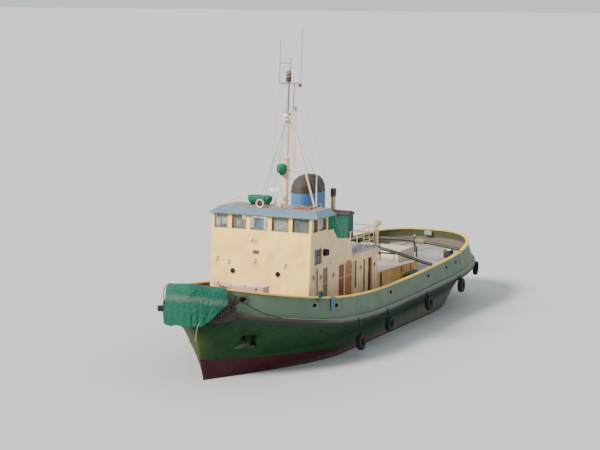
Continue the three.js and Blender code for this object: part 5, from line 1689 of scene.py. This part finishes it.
class TUG_OT_fore_deck(bpy.types.Operator):
    """Paints the windlass and skiff and adds their gear"""
    bl_idname = "tug.fore_deck"
    bl_label = "Fore deck"

    def execute(self, context):
        dress("windlass_frame", "black_steel", 0.012)
        dress("windlass_drum", "rusty_steel", 0.012)
        dress("skiff", "skiff_paint", 0.015)
        self.windlass()
        self.skiff()
        self.fairleads()
        self.rail_cloth()
        return {"FINISHED"}

    def windlass(self):
        bm = bmesh.new()
        for y in (-0.30, 0.30):
            lathe(bm, [(0.131, -0.02), (0.20, -0.02), (0.20, 0.02), (0.131, 0.02)],
                  WINDLASS + Vector((0, y, 0)), (0, 1, 0), 28)
        whelp = Vector((0.02, 0.26, 0.02))
        for i in range(10):
            angle = 2 * math.pi * i / 10
            place = WINDLASS + 0.135 * Vector((math.cos(angle), 0, math.sin(angle)))
            block(bm, place - whelp, place + whelp, 0.008)
        piece("windlass_whelps", bm, "rusty_steel", "windlass_drum")
        build("windlass_cheeks", "black_steel", "black_steel",
              *[(block, (11.88, y, 3.10), (12.22, y + 0.085, 3.47), 0.03) for y in (-0.515, 0.43)])

    def skiff(self):
        """Thwarts, and dark rods and a knob along the upturned floor's dark slots."""
        build("skiff_thwarts", "board_paint", "white_paint",
              *[(block, (10.24, y - 0.1, SKIFF_TOP - 0.14), (11.06, y + 0.1, SKIFF_TOP - 0.105), 0.008)
                for y in (-0.1, 0.62, 1.3)])
        build("skiff_gear", "pipe_paint", "black_steel",
              (rod, (11.05, -0.20, SKIFF_TOP - 0.05), (11.15, 0.43, SKIFF_TOP - 0.15), 0.055, 12),
              (rod, (11.13, 0.93, SKIFF_TOP - 0.24), (11.02, 1.66, SKIFF_TOP - 0.34), 0.055, 12),
              (ball, (11.05, 1.62, SKIFF_TOP - 0.08), 0.06))

    def fairleads(self):
        """Worn rollers in the bow's rope ports, and a roller fairlead on the port rail."""
        steel = bmesh.new()
        x = PORTS[0][0]
        for side in SIDES.values():
            place = on_hull(x, side, 0.02, 0.6)
            along = rail_place(x, side)[1].cross(UP)
            for reach in (-0.2, 0.2):
                rod(steel, place + along * reach - UP * 0.12, place + along * reach + UP * 0.12,
                    0.035, 12)
            for up in (-0.13, 0.13):
                rod(steel, place - along * 0.24 + UP * up, place + along * 0.24 + UP * up, 0.022, 10)
        piece("fairlead_rollers", steel, "rusty_steel")
        build("roller_fairlead", "teal_paint", "black_steel",
              *[(rod, *hull_line(1, (x, -0.03, low), (x, -0.03, high)), radius, 16)
                for x in (8.50, 8.70) for low, high, radius in ((0.99, 1.22, 0.07), (1.20, 1.25, 0.10))],
              (block, *hull_line(1, (8.38, -0.12, 0.99), (8.82, 0.05, 1.08)), 0.01),
              (block, *hull_line(1, (8.38, 0.0, 0.84), (8.82, 0.06, 1.0)), 0.01))

    def rail_cloth(self):
        """A cloth hung over the port rail. Its rows are (offset from the rail line, height)."""
        bm = bmesh.new()
        bmesh.ops.create_grid(bm, x_segments=20, y_segments=30, size=0.5)
        over = [(-0.135, 0.80), (-0.135, 0.94), (-0.10, 1.018), (-0.02, 1.022), (0.05, 1.014),
                (0.075, 0.95), (0.06, 0.80), (0.05, 0.60), (0.05, 0.36)]
        for vert in bm.verts:
            down = (0.5 - vert.co.y) * (len(over) - 1)
            offset, height = between(over, 0.5 - vert.co.y)
            fold = math.sin((vert.co.x + 0.5) * 17) * 0.012 * (1 if down > 5 else 0)
            narrow = 1 - 0.25 * max(down - 5, 0) / 3
            vert.co = on_hull(7.72 + vert.co.x * CLOTH_WIDTH * narrow, 1, offset + fold, height)
        rag, area = cloth("rail_cloth", bm, "blue_canvas", 0.003, 1)


class TUG_OT_propulsion(bpy.types.Operator):
    """Paints the propeller and the rudder and adds the shaft's cone and zinc plates"""
    bl_idname = "tug.propulsion"
    bl_label = "Propeller and rudder"

    def execute(self, context):
        paint_node("propeller", "bronze")
        dress("rudder", "bottom_paint", 0.015)
        build("propeller_cone", "bronze", "bronze",
              (lathe, [(0, 0.16), (0.05, 0.13), (0.10, 0.04), (0.108, 0), (0, 0)],
               (-11.04, 0, -1.75), (-1, 0, 0), 28), body="propeller")
        build("rudder_zincs", "galvanised_wire", "black_steel",
              *[(block, (-12.5, y, z), (-12.2, y + 0.045, z + 0.12), 0.01)
                for y in (0.10, -0.145) for z in (-2.6, -1.2)], body="rudder")
        return {"FINISHED"}


class TUG_PT_panel(bpy.types.Panel):
    """Sizes, colours and pieces of the tug"""
    bl_idname = "TUG_PT_panel"
    bl_label = "Harbour tug"
    bl_space_type = "VIEW_3D"
    bl_region_type = "UI"
    bl_category = "Tug"

    def draw(self, context):
        for name, kind in SETTINGS.items():
            box = self.layout.box()
            group = getattr(context.scene, name)
            for field in kind.__annotations__:
                box.prop(group, field)
        for step in STEPS:
            self.layout.operator(f"tug.{step}")


SETTINGS = {"tug_sizes": TugSizes, "tug_paint": TugPaint, "tug_stage": TugStage}
STEPS = ["stage", "hull", "tyres", "bow", "house", "windows", "doors", "roof", "mast",
         "boat_deck", "after_deck", "fore_deck", "propulsion"]
CLASSES = [TugSizes, TugPaint, TugStage, TUG_OT_stage, TUG_OT_hull, TUG_OT_tyres, TUG_OT_bow,
           TUG_OT_house, TUG_OT_windows, TUG_OT_doors, TUG_OT_roof, TUG_OT_mast,
           TUG_OT_boat_deck, TUG_OT_after_deck, TUG_OT_fore_deck, TUG_OT_propulsion,
           TUG_PT_panel]


def register():
    for kind in CLASSES:
        bpy.utils.register_class(kind)
    for name, kind in SETTINGS.items():
        setattr(bpy.types.Scene, name, PointerProperty(type=kind))


def unregister():
    for name in SETTINGS:
        delattr(bpy.types.Scene, name)
    for kind in reversed(CLASSES):
        bpy.utils.unregister_class(kind)


def main():
    register()
    make_materials()
    for step in STEPS:
        getattr(bpy.ops.tug, step)()


if __name__ == "__main__":
    main()
